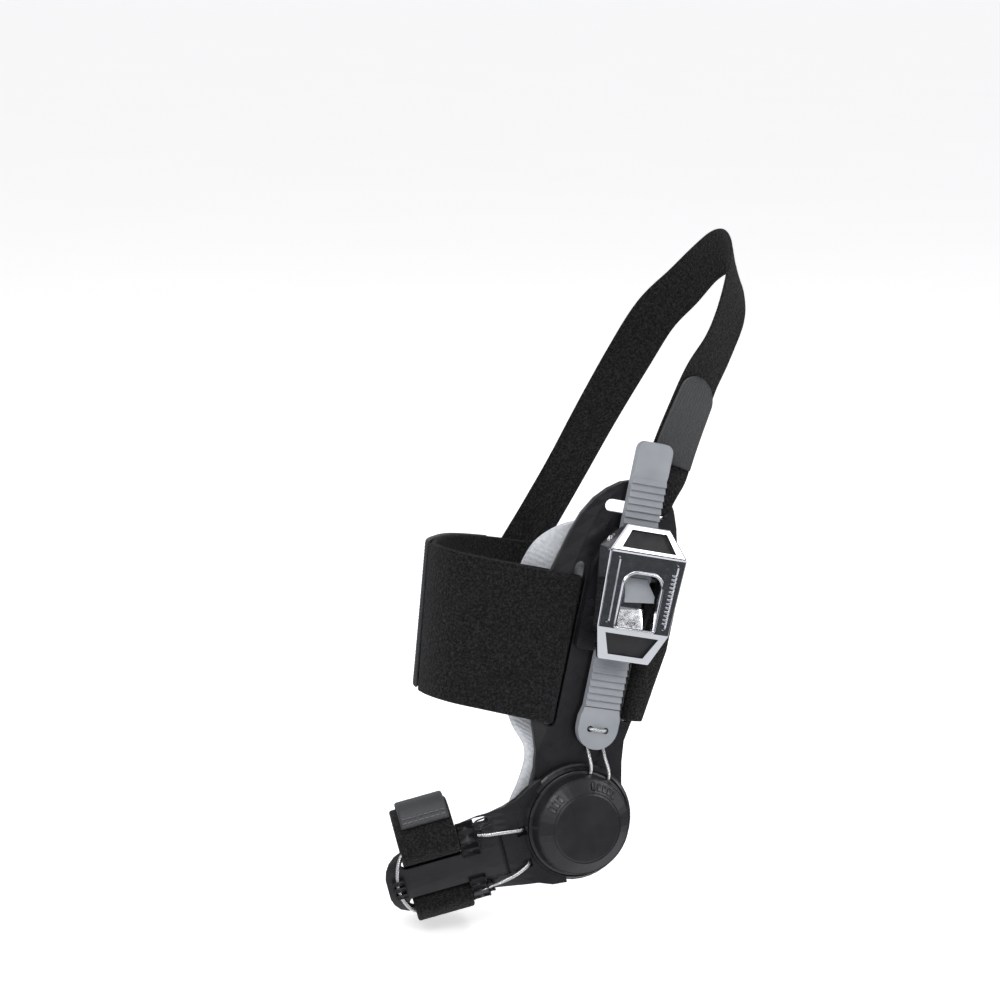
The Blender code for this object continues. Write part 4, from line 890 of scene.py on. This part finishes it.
def dial_fittings(plastic):
    """Step rings of the dial and two groups of plain tick marks on its sloped ring."""
    rings = []
    for radius, lift, wire in ((CAP_FACE_RADIUS + 0.0003, CAP_TOP - 0.0003, 0.00016),
                               (0.905 * CAP_RADIUS, CAP_TOP - 0.0029, 0.00014)):
        loop = [Vector((x, y, lift)) for x, y in arc((0, 0), radius, 0, 357, 119)]
        rings.append(tube_mesh("ring", loop, wire, True))
    add("dial_rings", joined("dial_rings", rings), PLATE_FRAME, plastic, "frame")
    marks = []
    for first, count in ((58, 5), (144, 3)):
        for i in range(count):
            angle = math.radians(first + 8.5 * i)
            out = Vector((math.cos(angle), math.sin(angle), 0))
            round_way = Vector((-math.sin(angle), math.cos(angle), 0))
            slope = (out * 1.0 + Vector((0, 0, -0.68))).normalized()
            centre = out * 0.0140 + Vector((0, 0, CAP_TOP - 0.00145))
            marks.append(block_mesh("mark", centre, (0.0026, 0.0013, 0.0005), 0.0001, slope, round_way))
    add("dial_tick_marks", joined("dial_tick_marks", marks), PLATE_FRAME, plastic, "frame")


def arm_fittings(plastic):
    """Cable guides beside the slots, the bridge at the toe plate's tip and the eyelet's rim."""
    blocks = []
    guides = [
        # distance from the groove and across in millimetres, then the block's size
        (9.3, 3.6, (0.0056, 0.0026, 0.0014)), (9.3, 6.0, (0.0056, 0.0026, 0.0018)),
        (9.3, 8.5, (0.0056, 0.0030, 0.0026)), (9.3, 11.2, (0.0050, 0.0026, 0.0018)),
        (5.8, 8.0, (0.0018, 0.0030, 0.0022)),
        (9.6, -8.0, (0.0050, 0.0026, 0.0016)), (9.5, -10.4, (0.0052, 0.0026, 0.0020)),
        (9.5, -12.6, (0.0052, 0.0026, 0.0026)), (6.0, -10.8, (0.0018, 0.0028, 0.0022)),
    ]
    for along, across, size in guides:
        distance = NECK_LENGTH + along * MILLIMETRE
        centre = arm_point(distance, across * MILLIMETRE, 0.0006)
        ahead = arm_point(distance + 0.001, across * MILLIMETRE, 0.0006) - centre
        beside = arm_point(distance, (across + 0.5) * MILLIMETRE, 0.0006) - centre
        blocks.append(block_mesh("guide", centre, size, 0.0005, ahead, beside))
    for across in (-5.0, -2.7, -0.4):
        distance = NECK_LENGTH + 0.0352
        centre = arm_point(distance, across * MILLIMETRE, 0.0010)
        ahead = arm_point(distance + 0.0005, across * MILLIMETRE, 0.0010) - centre
        beside = arm_point(distance, (across + 0.5) * MILLIMETRE, 0.0010) - centre
        blocks.append(block_mesh("bridge", centre, (0.0036, 0.0009, 0.0022), 0.0003, ahead, beside))
    add("toe_cable_guides", joined("toe_cable_guides", blocks), ARM_FRAME, plastic, "toe_arm")
    rim = [Vector((x, y, HUB_TOP + 0.0001)) for x, y in
           arc((-0.0303, 0.0118), 0.0016, -90, 90, 8) + arc((-0.0335, 0.0118), 0.0016, 90, 270, 8)]
    add("eyelet_rim", tube_mesh("eyelet_rim", rim, 0.0003, True), ARM_FRAME, plastic, "toe_arm")


# Surroundings
def surroundings():
    """Pale floor, sky and soft studio lamps."""
    floor_mesh = bpy.data.meshes.new("floor")
    side = 80.0
    low = -0.036
    floor_mesh.from_pydata([(-side, -side, low), (side, -side, low), (side, side, low), (-side, side, low)],
                           [], [(0, 1, 2, 3)])
    floor = bpy.data.objects.new("floor", floor_mesh)
    bpy.context.scene.collection.objects.link(floor)
    material, tree, main, place = shader("pale_floor", (0.93, 0.93, 0.93), 0.9)
    drift = grain(tree, place.outputs["Object"], 5.0)
    tree.links.new(tint(tree, drift, (0.92, 0.92, 0.92), (0.94, 0.94, 0.94)), main.inputs["Base Color"])
    main.inputs["Specular IOR Level"].default_value = 0.0
    main.inputs["Emission Color"].default_value = (1.0, 1.0, 1.0, 1.0)
    main.inputs["Emission Strength"].default_value = 0.52
    floor_mesh.materials.append(material)
    floor.visible_glossy = False

    world = bpy.data.worlds.new("studio")
    bpy.context.scene.world = world
    world.use_nodes = True
    tree = world.node_tree
    background = tree.nodes["Background"]
    place = tree.nodes.new("ShaderNodeTexCoord")
    split = tree.nodes.new("ShaderNodeSeparateXYZ")
    tree.links.new(place.outputs["Generated"], split.inputs["Vector"])
    height = spread_to(tree, split.outputs["Z"], 0.0, 1.0, -1.0, 1.0)
    sky = tree.nodes.new("ShaderNodeValToRGB")
    stops = sky.color_ramp.elements
    stops[0].position = 0.0
    stops[0].color = (0.85, 0.85, 0.86, 1)
    stops[1].position = 1.0
    stops[1].color = (1.0, 1.0, 1.0, 1)
    for position, value in SKY_STOPS:
        stop = stops.new(position)
        stop.color = (value, 1.02 * value, 1.08 * value, 1)
    tree.links.new(height, sky.inputs["Fac"])
    rays = tree.nodes.new("ShaderNodeLightPath")
    shares = ((rays.outputs["Is Diffuse Ray"], sky.outputs["Color"], (0.42, 0.42, 0.43, 1)),
              (rays.outputs["Is Camera Ray"], None, (1.0, 1.0, 1.0, 1)))
    colour = None
    for chosen, first, second in shares:
        mix = tree.nodes.new("ShaderNodeMix")
        mix.data_type = "RGBA"
        mix.inputs[7].default_value = second
        tree.links.new(chosen, mix.inputs[0])
        tree.links.new(first or colour, mix.inputs[6])
        colour = mix.outputs[2]
    tree.links.new(colour, background.inputs["Color"])
    background.inputs["Strength"].default_value = 1.0

    for name, place, size, power in LAMPS:
        light = bpy.data.lights.new(name, "AREA")
        light.size = size
        light.energy = power
        lamp = bpy.data.objects.new(name, light)
        lamp.location = place
        target = Vector((0.0, 0.0, 0.05 if name == "top" else 0.06))
        lamp.rotation_euler = (target - Vector(place)).to_track_quat("-Z", "Y").to_euler()
        bpy.context.scene.collection.objects.link(lamp)


def camera():
    """The photograph's view: azimuth, elevation and distance, with one point held at its pixel."""
    level = math.cos(CAMERA_TILT)
    ahead = Vector((math.sin(CAMERA_TURN) * level, math.cos(CAMERA_TURN) * level, -math.sin(CAMERA_TILT)))
    right = Vector((math.cos(CAMERA_TURN), -math.sin(CAMERA_TURN), 0))
    up = right.cross(ahead)
    across = (ANCHOR_PIXEL[0] - HALF_PICTURE) / CAMERA_FOCAL_PIXELS
    down = (ANCHOR_PIXEL[1] - HALF_PICTURE) / CAMERA_FOCAL_PIXELS
    centre = Vector(ANCHOR) - CAMERA_DISTANCE * (ahead + across * right - down * up)
    data = bpy.data.cameras.new("camera")
    data.sensor_width = SENSOR_MM
    data.lens = CAMERA_FOCAL_PIXELS / (2 * HALF_PICTURE) * SENSOR_MM
    data.clip_start = 0.05
    view = bpy.data.objects.new("camera", data)
    view.location = centre
    view.rotation_euler = ahead.to_track_quat("-Z", "Y").to_euler()
    bpy.context.scene.collection.objects.link(view)
    bpy.context.scene.camera = view
    bpy.context.scene.view_settings.view_transform = "Standard"


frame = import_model()
camera()
surroundings()

black = moulded("black_moulded", (0.007, 0.007, 0.008), (0.013, 0.013, 0.015), 0.25, 0.38)
dial = moulded("dial_moulded", (0.009, 0.009, 0.010), (0.016, 0.016, 0.018), 0.27, 0.38, 0.10)
dark = moulded("insert_moulded", (0.006, 0.006, 0.007), (0.014, 0.014, 0.015), 0.40, 0.60)
grey = moulded("grey_moulded", (0.235, 0.250, 0.275), (0.285, 0.300, 0.325), 0.28, 0.44)
chrome = chrome_material()
steel = steel_material()
fleece = fleece_material()
hook = hook_material()
knit = lining_material()
thread = thread_material()

NODE_MATERIALS = {
    "main_plate": black, "toe_arm": black, "buckle_base": black, "hinge_cap": dial,
    "ratchet_ladder": grey, "release_tab": grey, "buckle_lever": chrome, "lever_pawl": chrome,
    "buckle_pin": steel, "tab_pin": steel, "lever_insert_top": dark, "lever_insert_bottom": dark,
}
for node, material in NODE_MATERIALS.items():
    for slot in frame["nodes"][node].material_slots:
        slot.material = material

lining_pad(knit)
strap_path, hook_path = midfoot_layers()
midfoot_piece("midfoot_strap_soft", strap_path, fleece, FLEECE_PILE, 0.0, "midfoot_strap",
              0.0)
midfoot_piece("midfoot_hook_band", hook_path, hook, 0.0, MIDFOOT_RIB, "midfoot_strap_hook",
              1.3)
heel = heel_stations()
heel_piece("heel_strap_soft", heel, fleece, HEEL_PILE, 0.0, 0.0, 1.0, "heel_strap")
heel_piece("heel_hook_tab", heel[5:9], hook, 0.0, HEEL_RIB, HEEL_STRAP_THICK + GAP, 0.95,
           "heel_strap_hook", HEEL_TAB_ROUND)
toe_straps(fleece, hook, thread)
cables(steel)
lever_fittings(chrome)
dial_fittings(dial)
arm_fittings(black)
